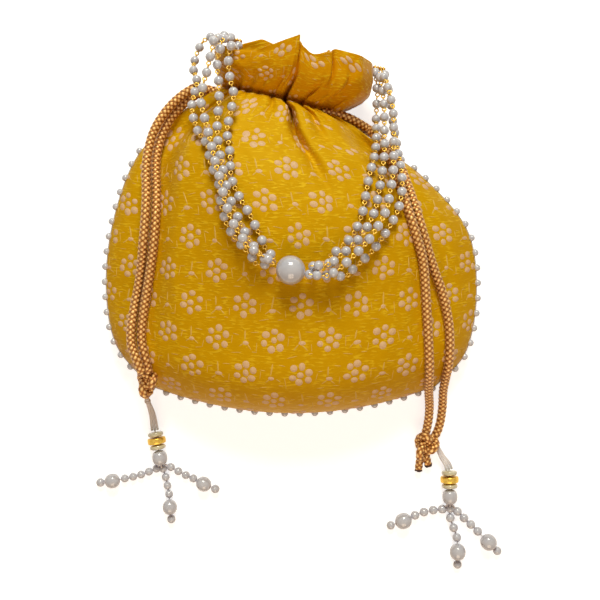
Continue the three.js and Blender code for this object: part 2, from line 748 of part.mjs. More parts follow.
handleStrand(
  1,
  [[-34, 101], [-36.5, 92], [-36.5, 82], [-35.5, 70], [-36, 55], [-37, 42], [-34, 30], [-29, 17],
    [-23, 4], [-20, -10]],
  [[22, -22], [33, -12], [39, 0], [42, 14], [44, 24], [48, 38], [49.5, 50], [50.5, 64], [51, 80]],
  1, -1, 0, 0, 2.4, 2.4,
);
handleStrand(
  4,
  [[-42, 110.5, 25], [-50, 111], [-57, 105], [-59, 94], [-57.5, 84], [-59.5, 70], [-56, 55],
    [-53, 42], [-52, 27], [-48, 11], [-42, -6], [-33, -25]],
  [[30, -33], [46, -18], [58, 0], [62, 12], [63, 24], [62, 38], [61.5, 50], [60, 64], [57.5, 80]],
  -1, -1, 3, 3, 2.8, 2.4,
);
handleStrand(
  2,
  [[-38, 103.5], [-43, 95], [-43.5, 82], [-43, 68], [-43, 56], [-43.5, 42], [-41, 29], [-36, 15],
    [-30, 1], [-25, -13]],
  [[25, -24], [38, -12], [46, 2], [49, 14], [51, 24], [53, 38], [53.5, 50], [54, 64], [53.5, 79]],
  1, 1, 1, 1, 3.1, 2.8,
);
handleStrand(
  3,
  [[-41, 106], [-48.5, 99], [-50, 87], [-51.5, 77], [-53, 69], [-50, 57], [-49, 43], [-46, 28],
    [-42, 13], [-36, -2], [-30, -18]],
  [[28, -28], [42, -14], [52, 2], [55, 14], [57, 24], [58, 38], [58.5, 50], [58.5, 64], [56, 78]],
  -1, 1, 2, 2, 3.5, 3.5,
);

export default group;
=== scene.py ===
# %% [markdown]
# # A potli bag of yellow brocade
# A potli is a small gathered pouch that is carried on the wrist. Two panels of silk are sewn round
# three sides, two cords run through a casing at the neck, and the cloth above the neck stands out as a
# frill. This lesson builds the bag as it lies on a white table, seen from straight above. All shapes
# are worked out in millimetres with numpy. They become metres in one place, where a mesh is made.

import bpy
import numpy as np
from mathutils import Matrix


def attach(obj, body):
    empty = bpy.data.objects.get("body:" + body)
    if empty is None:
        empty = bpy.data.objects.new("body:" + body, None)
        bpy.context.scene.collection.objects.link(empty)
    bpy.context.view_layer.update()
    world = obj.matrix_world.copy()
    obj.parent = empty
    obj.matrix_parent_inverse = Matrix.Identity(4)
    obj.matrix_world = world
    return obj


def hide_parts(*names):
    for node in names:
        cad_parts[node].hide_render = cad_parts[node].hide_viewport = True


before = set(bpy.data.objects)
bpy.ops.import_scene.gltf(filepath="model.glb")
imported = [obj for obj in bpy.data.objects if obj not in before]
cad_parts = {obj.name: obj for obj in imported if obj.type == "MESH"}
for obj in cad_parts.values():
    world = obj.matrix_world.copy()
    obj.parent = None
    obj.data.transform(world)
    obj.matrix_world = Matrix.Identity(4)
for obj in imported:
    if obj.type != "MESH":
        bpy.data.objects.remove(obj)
scene = bpy.context.scene
scene.view_settings.view_transform = "Standard"
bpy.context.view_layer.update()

# %% [markdown]
# ## The camera
# The photograph is taken from straight above, so the camera looks down the Z axis with +Y at the top of
# the picture. Objects near the lens grow a little, which shows in the frill and the large pearl, so the
# camera's height matters as much as its angle. It stands 580 mm up, and the lens is chosen for 0.6 mm
# to a pixel at the height of the side seam.

# %% Camera over the bag
MM = 0.001
CAMERA_HEIGHT = 580.0
AXIS_X, AXIS_Y = 5.1, -46.2
FRAME_WIDTH = 600 * 0.6
SEAM_HEIGHT = 16.0

camera = bpy.data.cameras.new("camera")
camera.sensor_width = 36.0
camera.lens = camera.sensor_width * (CAMERA_HEIGHT - SEAM_HEIGHT) / FRAME_WIDTH
camera.clip_start = 0.01
camera_object = bpy.data.objects.new("camera", camera)
camera_object.location = (AXIS_X * MM, AXIS_Y * MM, CAMERA_HEIGHT * MM)
scene.collection.objects.link(camera_object)
scene.camera = camera_object
print("lens", round(camera.lens, 2), "mm")

# %% [markdown]
# ## Small tools
# A few helpers do all the making. One turns arrays of points and faces into a mesh object and fixes it
# to a body of the model. One turns a written colour into the linear numbers that Blender works with. One
# adds a shader node with its settings and links, one starts an empty material, and one blends smoothly
# from 0 to 1.

# %% Helpers for meshes, nodes and colours


def make_piece(name, points, faces, material, body="body", uv=None):
    """A mesh from points in millimetres and lists of corner numbers, smooth, riding on a body."""
    mesh = bpy.data.meshes.new(name)
    mesh.from_pydata((np.asarray(points) * MM).tolist(), [], [list(face) for face in faces])
    mesh.shade_smooth()
    if uv is not None:
        corners = np.empty(len(mesh.loops), dtype=np.int32)
        mesh.loops.foreach_get("vertex_index", corners)
        layer = mesh.uv_layers.new(name="cloth")
        layer.uv.foreach_set("vector", np.asarray(uv, dtype=np.float32)[corners].ravel())
    mesh.materials.append(material)
    piece = bpy.data.objects.new(name, mesh)
    scene.collection.objects.link(piece)
    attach(piece, body)
    return piece


def linear(hex_colour):
    """The sRGB curve undone for each channel of a #rrggbb colour, with full alpha."""
    channels = np.array([int(hex_colour[i : i + 2], 16) for i in (1, 3, 5)]) / 255
    curve = np.where(channels <= 0.04045, channels / 12.92, ((channels + 0.055) / 1.055) ** 2.4)
    return (*curve.tolist(), 1.0)


def add_node(tree, kind, inputs=None, **settings):
    """A node with its settings; an input is a value, or another node's output to link from."""
    node = tree.nodes.new(kind)
    for setting, value in settings.items():
        setattr(node, setting, value)
    for socket, value in (inputs or {}).items():
        if isinstance(value, bpy.types.NodeSocket):
            tree.links.new(value, node.inputs[socket])
        else:
            node.inputs[socket].default_value = value
    return node


def new_material(name):
    """An empty node material with its output node."""
    material = bpy.data.materials.new(name)
    material.use_nodes = True
    material.node_tree.nodes.clear()
    output = material.node_tree.nodes.new("ShaderNodeOutputMaterial")
    return material, material.node_tree, output.inputs["Surface"]


def smoothstep(low, high, value):
    """0 below low, 1 above high, and a smooth S between."""
    share = np.clip((value - low) / (high - low), 0, 1)
    return share * share * (3 - 2 * share)


print("helpers ready")

# %% [markdown]
# ## The shape of the cloth
# A stuffed bag could be blown up by a cloth simulation, but then its folds fall where they like, and
# here each fold has its place on the photograph. So the cloth is a lofted surface. Ten sections cross
# the bag from the bottom seam to the frill's edge. Each has a left and a right end on the side seam,
# and the cloth domes up between them. `u` runs across from seam to seam and `t` counts the sections
# upwards.

# %% Sections of the pouch
LEFT_X = np.array([-85, -105, -111, -108, -96, -78, -52, -42, -45, -45.0])
LEFT_Y = np.array([-98, -74, -42, -5, 33, 57, 75, 81, 93, 105.0])
RIGHT_X = np.array([87, 105, 111, 105, 79, 57, 39, 28, 46, 48.0])
RIGHT_Y = np.array([-98, -77, -41, -4, 27, 43, 56, 64, 75, 92.0])
DROOP = np.array([16, 14, 9, 4, 0, 0, 0, 0, -1, -2.0])
SEAM = np.array([12, 14, 16, 17, 17, 16, 16, 16, 19, 22.0])
FRONT_RISE = np.array([36, 40, 42.5, 47.5, 43, 33, 25, 20, 27, 28.0])
BACK_DROP = np.array([16, 22, 26, 28, 26, 20, 15, 14, 15, 16.0])
FULLNESS = np.array([0.75, 0.75, 0.75, 0.75, 0.7, 0.5, 0.38, 0.3, 0.3, 0.35])
NECK, FRILL_EDGE = 7.0, 9.0


def along(values, t):
    """Catmull-Rom curve through the values at whole t; the ends are held."""
    last = len(values) - 1
    i = np.clip(np.floor(t).astype(int), 0, last - 1)
    f = (t - i).reshape(np.shape(t) + (1,) * (np.ndim(values) - 1))
    a, b = values[np.maximum(i - 1, 0)], values[i]
    c, d = values[i + 1], values[np.minimum(i + 2, last)]
    slope, bend, twist = c - a, 2 * a - 5 * b + 4 * c - d, 3 * b - a - 3 * c + d
    return 0.5 * (2 * b + slope * f + bend * f**2 + twist * f**3)


def ripple(u, t, across, up, seed):
    """Smooth random hills from -1 to 1: seeded heights on a grid of across x up, blended between."""
    heights = np.random.default_rng(seed).uniform(-1, 1, (up + 2, across + 2))
    x, y = np.clip(u, 0, 1) * across, np.clip(t / FRILL_EDGE, 0, 1) * up
    i, j = np.floor(x).astype(int), np.floor(y).astype(int)
    fx, fy = smoothstep(0, 1, x - i), smoothstep(0, 1, y - j)
    low = heights[j, i] * (1 - fx) + heights[j, i + 1] * fx
    high = heights[j + 1, i] * (1 - fx) + heights[j + 1, i + 1] * fx
    return low * (1 - fy) + high * fy


print("pouch", RIGHT_X.max() - LEFT_X.min(), "mm wide")

# %% [markdown]
# ## Folds that run out of the neck
# The drawn cord crowds the cloth at the neck into gathers. Each gather is a valley that starts at the
# neck and fades out on the pouch. The long one right of the middle is the crease that the photograph
# shows best. Every valley is a bell-shaped groove that follows a line on the cloth, and the cloth
# between two valleys is left standing as a soft ridge. The last two grooves in front are the furrows
# that the cords press beside them.

# %% Gathers: place at the neck, place at the far end, section of the far end, depth, width
FRONT_GATHERS = [
    (-0.86, -0.80, 3.0, 4.5, 0.075),
    (-0.70, -0.75, 2.8, 6.0, 0.045),
    (-0.52, -0.50, 4.4, 2.8, 0.055),
    (-0.34, -0.30, 5.2, 1.8, 0.045),
    (-0.12, -0.08, 5.0, 3.5, 0.030),
    (0.085, 0.316, 2.9, 9.0, 0.030),
    (0.085, 0.288, 3.4, 7.0, 0.020),
    (0.36, 0.46, 4.3, 5.0, 0.032),
    (0.55, 0.60, 4.9, 2.8, 0.050),
    (0.80, 0.80, 3.4, 6.0, 0.085),
    (1.0, 0.66, 1.4, 5.0, 0.05),
    (-1.0, -0.76, 1.6, 4.0, 0.05),
]
BACK_GATHERS = [(place, place, 4.4, 3.0, 0.07) for place in np.linspace(-0.85, 0.85, 8)]


def gathered(s, t, gathers):
    """Sum of bell-shaped grooves along their own lines, deepest at the neck and gone at the far end."""
    depth = np.zeros(np.broadcast(s, t).shape)
    for near, far, end, deep, width in gathers:
        share = np.clip((NECK - t) / (NECK - end), 0, 1)
        middle = near + (far - near) * share
        groove = np.exp(-(((s - middle) / (width * (1 + 0.7 * share))) ** 2))
        depth += deep * groove * (1 - smoothstep(0.35, 1, share)) * (1 - smoothstep(7.3, 8.3, t))
    return depth


print(len(FRONT_GATHERS), "gathers in front,", len(BACK_GATHERS), "behind")

# %% [markdown]
# ## The frill
# Above the neck nothing holds the cloth, so the gathers open into a few broad pleats. Each pleat rises
# from left to right and then drops sharply behind the next one, which leaves a dark slit between them.
# A plain wave would look like a row of pipes, so the pleats are written as their corners: a place
# across the frill and a height. One row of places is for the neck and one for the frill's edge, because
# the pleats slant. The edge itself isn't straight either: a last pair of rows says how far each pleat
# reaches past it.

# %% Frill pleats
PLEAT_AT_NECK = np.array(
    [0, 0.06, 0.13, 0.21, 0.477, 0.503, 0.529, 0.651, 0.826, 0.851, 0.879, 0.947, 1.0]
)
PLEAT_AT_EDGE = np.array(
    [0, 0.06, 0.132, 0.27, 0.517, 0.53, 0.551, 0.61, 0.715, 0.737, 0.765, 0.90, 1.0]
)
PLEAT_FRONT = np.array([0, 3.0, 0.0, -1.0, 6.0, -4.0, 2.5, -0.5, 4.0, -3.5, 2.0, 5.0, 0])
PLEAT_BACK = np.array([0, 2.0, 1.0, -1.5, 2.5, 0.5, -2.0, 2.0, 1.0, -2.0, 1.0, 2.0, 0])
PLEAT_PUSH = np.array([0, 0, -1, 1.5, 3.0, -1.0, -2.0, 0, 2.5, -1.5, -2.0, 1.0, 0])
EDGE_FRONT = np.array([0, -5.0, -7.7, -6.9, 2.4, 1.2, -1.5, -6.4, -4.0, -2.0, -0.8, -1.5, 0])
EDGE_BACK = np.array([0, 1.0, 4.0, 9.5, 3.0, 4.0, 5.0, 4.0, 9.0, 9.0, 5.0, 1.0, 0])
CREASE_SOFTNESS = 0.012


def pleated(share, t, heights):
    """Heights between the pleats' corners, evened out over a narrow window so that creases are soft."""
    slant = smoothstep(NECK, FRILL_EDGE, t)
    total = np.zeros(share.shape)
    offsets = np.linspace(-CREASE_SOFTNESS, CREASE_SOFTNESS, 5)
    for offset in offsets:
        at_neck = np.interp(share + offset, PLEAT_AT_NECK, heights)
        at_edge = np.interp(share + offset, PLEAT_AT_EDGE, heights)
        total += at_neck * (1 - slant) + at_edge * slant
    return total / len(offsets)


print(len(PLEAT_FRONT), "corners across the frill")

# %% [markdown]
# ## The whole cloth surface
# Now the parts come together. A point starts on the straight line between the two seam ends of its
# section, hangs down by the droop and rises by the dome. Then come the gathers, the pleats and the
# cinch, the narrow groove that the cord cuts all round the neck. The outer sides of the pouch hold less
# filling and lie lower, like two wings. Small dents and wrinkles keep the cloth from looking blown up.

# %% Cloth surface
SEAM_CROWDING = 0.25
BOTTOM_ROUND = 1.2
FRILL_FROM, FRILL_TO = 6.85, 8.0
WING_IN, WING_OUT, WING_DROP = 0.58, 0.84, 0.36
CINCH_FRONT, CINCH_BACK, CINCH_HALF = 7.0, 2.0, 0.18
DENT, SMALL_DENT, WRINKLE, FRILL_WRINKLE = 1.6, 0.6, 0.16, 0.5
SEAM_PLAY, TABLE_PLAY = 0.15, 0.5


def cloth(u, t, side):
    """Point of the cloth: along the chord between the seam ends, hung by the droop, and raised by a dome.

    The front (side 1) rises from the seam, the back (side -1) drops from it and stops at the table.
    """
    u, t = np.broadcast_arrays(np.asarray(u, float), np.asarray(t, float))
    w = 2 * u - 1
    s = w * (1 + SEAM_CROWDING - SEAM_CROWDING * w**2)
    left = np.stack([along(LEFT_X, t), along(LEFT_Y, t)], -1)
    right = np.stack([along(RIGHT_X, t), along(RIGHT_Y, t)], -1)
    chord = (right - left) / np.linalg.norm(right - left, axis=-1, keepdims=True)
    share = (s + 1) / 2
    plan = left + (right - left) * share[..., None]
    hang = along(DROOP, t) * (1 - s**2)
    x = plan[..., 0] + chord[..., 1] * hang
    y = plan[..., 1] - chord[..., 0] * hang
    dome = np.maximum(1 - s**2, 0) ** along(FULLNESS, t)
    roundness = np.sqrt(np.maximum(1 - (1 - np.minimum(t / BOTTOM_ROUND, 1)) ** 2, 0))
    rise = along(FRONT_RISE if side > 0 else BACK_DROP, t) * roundness
    edge = np.minimum(1, 6 * (1 - np.abs(s)))
    frill = smoothstep(FRILL_FROM, FRILL_TO, t)
    if side > 0:
        low, high = smoothstep(1.0, 2.2, t), smoothstep(4.8, 5.8, t)
        rise = rise * (1 - WING_DROP * (smoothstep(WING_IN, WING_OUT, np.abs(s)) * low * (1 - high)))
    grooves = gathered(s, t, FRONT_GATHERS if side > 0 else BACK_GATHERS)
    cinch = (CINCH_FRONT if side > 0 else CINCH_BACK) * np.exp(-(((t - NECK) / CINCH_HALF) ** 2))
    pleats = frill * pleated(share, t, PLEAT_FRONT if side > 0 else PLEAT_BACK)
    body = smoothstep(0.2, 1.4, t) * (1 - frill)
    dents = body * (DENT * ripple(u, t, 7, 6, 3) + SMALL_DENT * ripple(u, t, 24, 14, 8))
    creases = WRINKLE * body * ripple(u, t, 60, 60, 5) + FRILL_WRINKLE * frill * ripple(u, t, 18, 30, 9)
    push = frill * edge * pleated(share, t, PLEAT_PUSH)
    height = np.maximum(rise * dome + edge * (pleats + dents + creases - grooves - cinch), SEAM_PLAY)
    reach = np.clip((t - NECK) / (FRILL_EDGE - NECK), 0, 1)
    scallop = reach * pleated(share, t, EDGE_FRONT if side > 0 else EDGE_BACK)
    x = x + chord[..., 0] * push
    y = y + chord[..., 1] * push + scallop
    z = np.maximum(along(SEAM, t) + side * height, TABLE_PLAY + 0.2 * (1 - dome))
    return np.stack([x, y, z], -1)


FRONT_U, FRONT_T = np.linspace(0, 1, 200), np.linspace(0, FRILL_EDGE, 225)
front = cloth(FRONT_U[None, :], FRONT_T[:, None], 1)
print("front rises to", round(front[..., 2].max(), 1), "mm")

# %% [markdown]
# ## What the cords and beads lie on
# Limp cords and strung pearls lie on whatever is below them. To settle a ball at a place on the plan,
# it is lowered until it first touches the table, a point of the front or a ball that already lies
# there. A cord is a row of such balls. It can't follow every small dip, so each point is raised to the
# mean of its two neighbours a few times over.

# %% Settle and drape
cloth_points = front.reshape(-1, 3)
lying = [np.zeros((0, 4))]


def settle(x, y, radius):
    """Height of a ball's middle: the highest contact with the table, the cloth or a lying ball."""
    balls = np.concatenate(lying)
    things = np.concatenate([np.column_stack([cloth_points, np.zeros(len(cloth_points))]), balls])
    contact = (radius + things[:, 3]) ** 2 - (things[:, 0] - x) ** 2 - (things[:, 1] - y) ** 2
    touched = contact > 0
    heights = things[touched, 2] + np.sqrt(contact[touched])
    return max(radius, heights.max(initial=0))


def spaced(path, step):
    """The same path with points at even steps of its length."""
    length = np.concatenate([[0], np.cumsum(np.linalg.norm(np.diff(path, axis=0), axis=1))])
    places = np.linspace(0, length[-1], max(int(round(length[-1] / step)), 2) + 1)
    return np.stack([np.interp(places, length, path[:, axis]) for axis in range(path.shape[1])], -1)


def smooth_path(points, per_span=12):
    """Catmull-Rom curve through the points."""
    points = np.asarray(points, float)
    return along(points, np.linspace(0, len(points) - 1, (len(points) - 1) * per_span + 1))


def drape(plan, radius, step=4.0, passes=12):
    """A route on the plan, each point settled, then eased over the dips."""
    route = spaced(smooth_path(plan), step)
    z = np.array([settle(x, y, radius) for x, y in route])
    for _ in range(passes):
        z[1:-1] = np.maximum(z[1:-1], (z[:-2] + z[2:]) / 2)
    return np.column_stack([route, z])


def remember(path, radius):
    """Adds balls along a path to what later pieces lie on."""
    lying.append(np.column_stack([path, np.full(len(path), radius)]))


print(len(cloth_points), "points to lie on")

# %% [markdown]
# ## Zari cord
# The drawstrings are braids of yarn wrapped with gold foil, called zari. Bundles of yarn cross over and
# under each other, so the cord shows rows of slanted stitches with dark gaps between them. The stitches
# are real bumps in the mesh here, and the same height is kept in the map's second coordinate, so that
# the material can colour the gaps brown, partly for the yarn core and partly as painted shade, and give
# the crowns a painted highlight.

# %% Zari material
zari, tree, surface = new_material("zari braid of foil-wrapped yarn")
# Foil round a yarn core: half metal, half fibre. By the braid's height the crowns get a painted
# highlight, and the gaps are brown, partly the core and partly painted shade.
braid_map = add_node(tree, "ShaderNodeUVMap", uv_map="cloth")
braid_parts = add_node(tree, "ShaderNodeSeparateXYZ", {0: braid_map.outputs["UV"]})
singe_and_painted_light_stops = add_node(tree, "ShaderNodeValToRGB", {"Fac": braid_parts.outputs["Y"]})
singe_and_painted_light_stops.color_ramp.elements[0].color = linear("#3a1800")
singe_and_painted_light_stops.color_ramp.elements[1].color = linear("#ffd688")
middle_stop = singe_and_painted_light_stops.color_ramp.elements.new(0.55)
middle_stop.color = linear("#b06c1c")
braid_place = add_node(tree, "ShaderNodeTexCoord")
# Foil strips are about 0.3 mm wide, drawn at 0.6 mm so that they show as a glint.
foil = add_node(
    tree,
    "ShaderNodeTexNoise",
    {"Vector": braid_place.outputs["Object"], "Scale": 1000 / 0.6, "Detail": 2.0},
)
foil_gloss = add_node(
    tree, "ShaderNodeMapRange", {"Value": foil.outputs["Fac"], "To Min": 0.30, "To Max": 0.58}
)
foil_bump = add_node(
    tree, "ShaderNodeBump", {"Height": foil.outputs["Fac"], "Strength": 0.35, "Distance": 0.25 * MM}
)
zari_shader = add_node(
    tree,
    "ShaderNodeBsdfPrincipled",
    {
        "Base Color": singe_and_painted_light_stops.outputs["Color"],
        "Metallic": 0.45,
        "Roughness": foil_gloss.outputs["Result"],
        "Normal": foil_bump.outputs["Normal"],
        "Sheen Weight": 0.15,
    },
)
tree.links.new(zari_shader.outputs["BSDF"], surface)
print("zari ready")

# %% [markdown]
# A tube is a circle carried along a path. Every cord here lies nearly flat, so "up" is a good reference
# for turning the circle, and the whole tube is one array. The braid's height comes from two families of
# slanted bands. Where they cross, a chessboard says which one is on top.

# %% Tubes


def path_frame(path):
    """Unit tangent, a normal as near to up as it can be, and the third direction, at each point."""
    tangent = np.gradient(path, axis=0)
    tangent = tangent / np.linalg.norm(tangent, axis=1, keepdims=True)
    normal = np.array([0, 0, 1.0]) - tangent * tangent[:, 2:3]
    normal = normal / np.maximum(np.linalg.norm(normal, axis=1, keepdims=True), 1e-6)
    return tangent, normal, np.cross(tangent, normal)


def ring_faces(rows, sides, closed):
    """Quads between rings of corners; an open tube gets a cap at each end."""
    i = np.arange(rows if closed else rows - 1)[:, None]
    j = np.arange(sides)[None, :]
    after, beside = (i + 1) % rows, (j + 1) % sides
    quads = np.stack([i * sides + j, i * sides + beside, after * sides + beside, after * sides + j], -1)
    faces = quads.reshape(-1, 4).tolist()
    if not closed:
        faces.append(list(range(sides))[::-1])
        faces.append(list(range((rows - 1) * sides, rows * sides)))
    return faces


def tube(path, radius, sides, closed=False):
    """A circle of the given radius, a number or a rows x sides array, carried along the path."""
    tangent, normal, across = path_frame(path)
    angle = np.arange(sides) * 2 * np.pi / sides
    ring = normal[:, None] * np.cos(angle)[None, :, None] + across[:, None] * np.sin(angle)[None, :, None]
    size = np.broadcast_to(radius, (len(path), sides))[..., None]
    return (path[:, None] + ring * size).reshape(-1, 3), ring_faces(len(path), sides, closed)


print("tubes ready")

# %% [markdown]
# The cord's size comes from the photograph: 5.6 mm, with stitches 3 mm long. A cut end is singed with a
# flame so that it doesn't fray. There the map's height is 0, which the material paints as dark as the
# gaps.

# %% The braid
CORD_DIAMETER = 5.6
STITCH_LENGTH = 3.0
STITCH_DEPTH = 0.62
BANDS_ROUND = 4
BRAID_SIDES, BRAID_STEP = 40, 0.42


def braid_height(rows, sides, step):
    """0 in the gaps to 1 on the crowns: at each crossing the upper band's back, dipping at its ends."""
    angle = np.arange(sides)[None, :] / sides * BANDS_ROUND
    run = np.arange(rows)[:, None] * step / STITCH_LENGTH
    first, second = angle + run, angle - run
    over = (np.floor(first) + np.floor(second)) % 2 == 0
    back, length = np.sin(np.pi * (first % 1)), np.sin(np.pi * (second % 1))
    return np.where(over, back**0.6 * (0.45 + 0.55 * length), length**0.6 * (0.45 + 0.55 * back))


def braided_cord(name, path, diameter, closed=False, singed=0.0):
    """A tube whose surface is the braid; the map keeps its height, which is 0 on a singed end."""
    sides, step = BRAID_SIDES, BRAID_STEP
    path = spaced(path, step)
    if closed:
        path = path[:-1]
    height = braid_height(len(path), sides, step)
    radius = diameter / 2 - STITCH_DEPTH * (1 - height)
    points, faces = tube(path, radius, sides, closed)
    run = np.broadcast_to(np.arange(len(path))[:, None] * step, height.shape)
    height = np.where(run > run.max() - singed, 0, height) if singed else height
    return make_piece(name, points, faces, zari, uv=np.stack([run, height], -1).reshape(-1, 2))


print("stitches", STITCH_LENGTH, "mm long on a", CORD_DIAMETER, "mm cord")

# %% [markdown]
# ## The four cord runs
# One drawstring leaves the casing on the left and the other on the right, each with both its ends. The
# runs come out of the slits in the side seam, drop over the shoulder and lie along the pouch down to
# their knots. Their plans are points chosen on the photograph, and their heights come from draping.

# %% Cords out of the casing
EXIT_STEP, EXIT_RISE, INSIDE_SLIT = 5.6, 5.7, 16.0
LEFT_LEVEL, RIGHT_LEVEL = 6.4, 6.95
LEFT_RUN = [
    (-52, 80), (-63, 74), (-72.5, 65), (-79.5, 54), (-83, 42), (-84, 30), (-83, 10), (-84.5, -12),
    (-88, -34), (-91.6, -54), (-92.4, -70), (-89, -80), (-86, -88),
]
LEFT_UNDER_RUN = [
    (-52, 77.5), (-61.3, 71.5), (-70, 62.5), (-75.6, 52.5), (-78.6, 41.5), (-79, 30), (-77.4, 10),
    (-78.6, -12), (-82, -34), (-85.6, -54), (-86.8, -68), (-84.8, -79), (-83.4, -88),
]
RIGHT_RUN = [
    (43, 59.5), (50, 51), (55.5, 42), (59, 33), (61.5, 24), (65.5, 8), (71, -10), (75.4, -26),
    (77.6, -53.6), (80.3, -92), (83.2, -110), (83.2, -120), (81.5, -129),
]
RIGHT_UNDER_RUN = [
    (43, 59.5), (51, 52.5), (57.5, 44.5), (62.6, 36), (66.4, 25), (71, 8), (76.4, -11), (82.5, -29),
    (87.5, -42), (91.5, -60), (92.2, -80), (91.3, -99.4), (91.9, -110), (91.1, -120.5), (88.5, -128.5),
    (84, -134),
]


def slit_mouth(level, side, rise):
    """Where a run leaves: the casing's end at that level, one cord's width outside the seam."""
    end = np.array([along(LEFT_X, level), along(LEFT_Y, level)])
    other = np.array([along(RIGHT_X, level), along(RIGHT_Y, level)])
    outward = (end - other) if side < 0 else (other - end)
    outward = outward / np.linalg.norm(outward)
    start = (end if side < 0 else other) + outward * EXIT_STEP
    return np.array([*start, along(SEAM, level) + rise]), outward


def cord_route(plan, level, side, rise):
    """Straight out of the slit, then draped along the plan."""
    mouth, outward = slit_mouth(np.array(level), side, rise)
    inside = mouth - np.array([*outward, 0]) * INSIDE_SLIT
    lain = drape(plan, CORD_DIAMETER / 2 + 0.3)
    route = spaced(smooth_path(np.vstack([inside, mouth, lain[1:]]), 10), 2.0)
    remember(route[8:], CORD_DIAMETER / 2)
    return route, mouth


cord_routes = {}
for name, plan, level, side, rise in [
    ("cord_left_under", LEFT_UNDER_RUN, LEFT_LEVEL, -1, -EXIT_RISE),
    ("cord_left", LEFT_RUN, LEFT_LEVEL, -1, EXIT_RISE),
    ("cord_right_under", RIGHT_UNDER_RUN, RIGHT_LEVEL, 1, -EXIT_RISE),
    ("cord_right", RIGHT_RUN, RIGHT_LEVEL, 1, EXIT_RISE),
]:
    cord_routes[name] = cord_route(plan, level, side, rise)
    braided_cord(name, cord_routes[name][0], CORD_DIAMETER)
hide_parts("drawstring_left")
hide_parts("drawstring_right")


def run_length(path):
    """Sum of the steps along a path."""
    return float(np.linalg.norm(np.diff(path, axis=0), axis=1).sum())


print({name: round(run_length(route)) for name, (route, mouth) in cord_routes.items()})

# %% [markdown]
# ## Knots
# Both ends of each cord are tied together before the tassel. A tied cord is a path that goes over and
# under itself, so the knot is a trefoil, the shape of a simple overhand knot, pulled small and
# stretched along the cord. Carrying the same braid along it gives the lumpy look for free. Below the
# right knot the two singed ends of the cord stick out.

# %% Tie the knots


def trefoil(middle, direction, width, length, height):
    """Closed path along a direction: round twice while it goes up and down three times."""
    turn = np.linspace(0, 2 * np.pi, 181)
    x = (np.sin(turn) + 2 * np.sin(2 * turn)) / 3 * width
    y = (2 * np.cos(2 * turn) - np.cos(turn)) / 3 * length
    z = -np.sin(3 * turn) * height
    ahead = np.array(direction, float) / np.linalg.norm(direction)
    beside = np.array([ahead[1], -ahead[0]])
    plan = np.array(middle[:2]) + x[:, None] * beside + y[:, None] * ahead
    return np.column_stack([plan, middle[2] + z])


KNOT_CORD, KNOT_HEIGHT, SINGED = 5.0, 2.8, 1.6
KNOTS = {
    "left": {
        "middle": (-84.8, -94.2, 28.0),
        "direction": (-1.6, -18.0),
        "width": 4.3,
        "length": 7.7,
        "ends": [],
    },
    "right": {
        "middle": (81.8, -135.2, 6.8),
        "direction": (-7.0, -18.0),
        "width": 5.7,
        "length": 8.0,
        "ends": [
            [(79.4, -141, 5), (78.2, -146, 4), (77.8, -151, 3)],
            [(82, -140, 5), (83, -144.5, 4), (84, -148, 3)],
        ],
    },
}
knots = {}
for side, knot in KNOTS.items():
    knot_path = trefoil(knot["middle"], knot["direction"], knot["width"], knot["length"], KNOT_HEIGHT)
    tied = braided_cord(f"knot_{side}", knot_path, KNOT_CORD, closed=True)
    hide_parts(f"drawstring_{side}_knot")
    remember(knot_path, KNOT_CORD / 2)
    knots[side] = [tied]
    for number, cut_end in enumerate(knot["ends"]):
        stub = smooth_path(np.array(cut_end, float))
        knots[side].append(braided_cord(f"cut_end_{side}_{number}", stub, KNOT_CORD, singed=SINGED))
print(list(knots), "knots tied")

# %% [markdown]
# ## Pearl
# The beads are imitation pearls: glass or plastic dipped in a varnish with fish-scale or mica flakes.
# Under the clear coat the flakes throw back a soft white light with a cool, slightly violet cast, and a
# small sharp highlight sits on top. The tassels' discs are dipped too, in a cream tone, so one function
# makes both.

# %% Pearl varnish


def pearl_varnish(name, shade, light):
    """Two tones mixed by clouds of varnish about 4 mm across, under a clear coat."""
    material, tree, surface = new_material(name)
    place = add_node(tree, "ShaderNodeTexCoord")
    clouds = add_node(
        tree, "ShaderNodeTexNoise", {"Vector": place.outputs["Object"], "Scale": 1000 / 4, "Detail": 2.0}
    )
    lustre = add_node(
        tree,
        "ShaderNodeMix",
        {"Factor": clouds.outputs["Fac"], "A": linear(shade), "B": linear(light)},
        data_type="RGBA",
    )
    gloss = add_node(
        tree, "ShaderNodeMapRange", {"Value": clouds.outputs["Fac"], "To Min": 0.14, "To Max": 0.24}
    )
    shader = add_node(
        tree,
        "ShaderNodeBsdfPrincipled",
        {
            "Base Color": lustre.outputs["Result"],
            "Roughness": gloss.outputs["Result"],
            "IOR": 1.53,
            "Coat Weight": 1.0,
            "Coat Roughness": 0.06,
            "Sheen Weight": 0.2,
            "Sheen Tint": linear("#e8dcf4"),
        },
    )
    tree.links.new(shader.outputs["BSDF"], surface)
    return material


pearl = pearl_varnish("pearl varnish on glass beads", "#bcbfcf", "#d8dae4")
cream = pearl_varnish("cream shell discs", "#cfc9a0", "#e6e0c0")
print("pearl and cream ready")

# %% [markdown]
# ## Gold wire
# The strands are linked with brass wire that is coloured like gold, and the tassels' rings are the
# same. It is a metal with fine draw marks: they change its tone and its gloss a little from place to
# place.

# %% Gold material
gold, tree, surface = new_material("gold-coloured brass wire")
gold_place = add_node(tree, "ShaderNodeTexCoord")
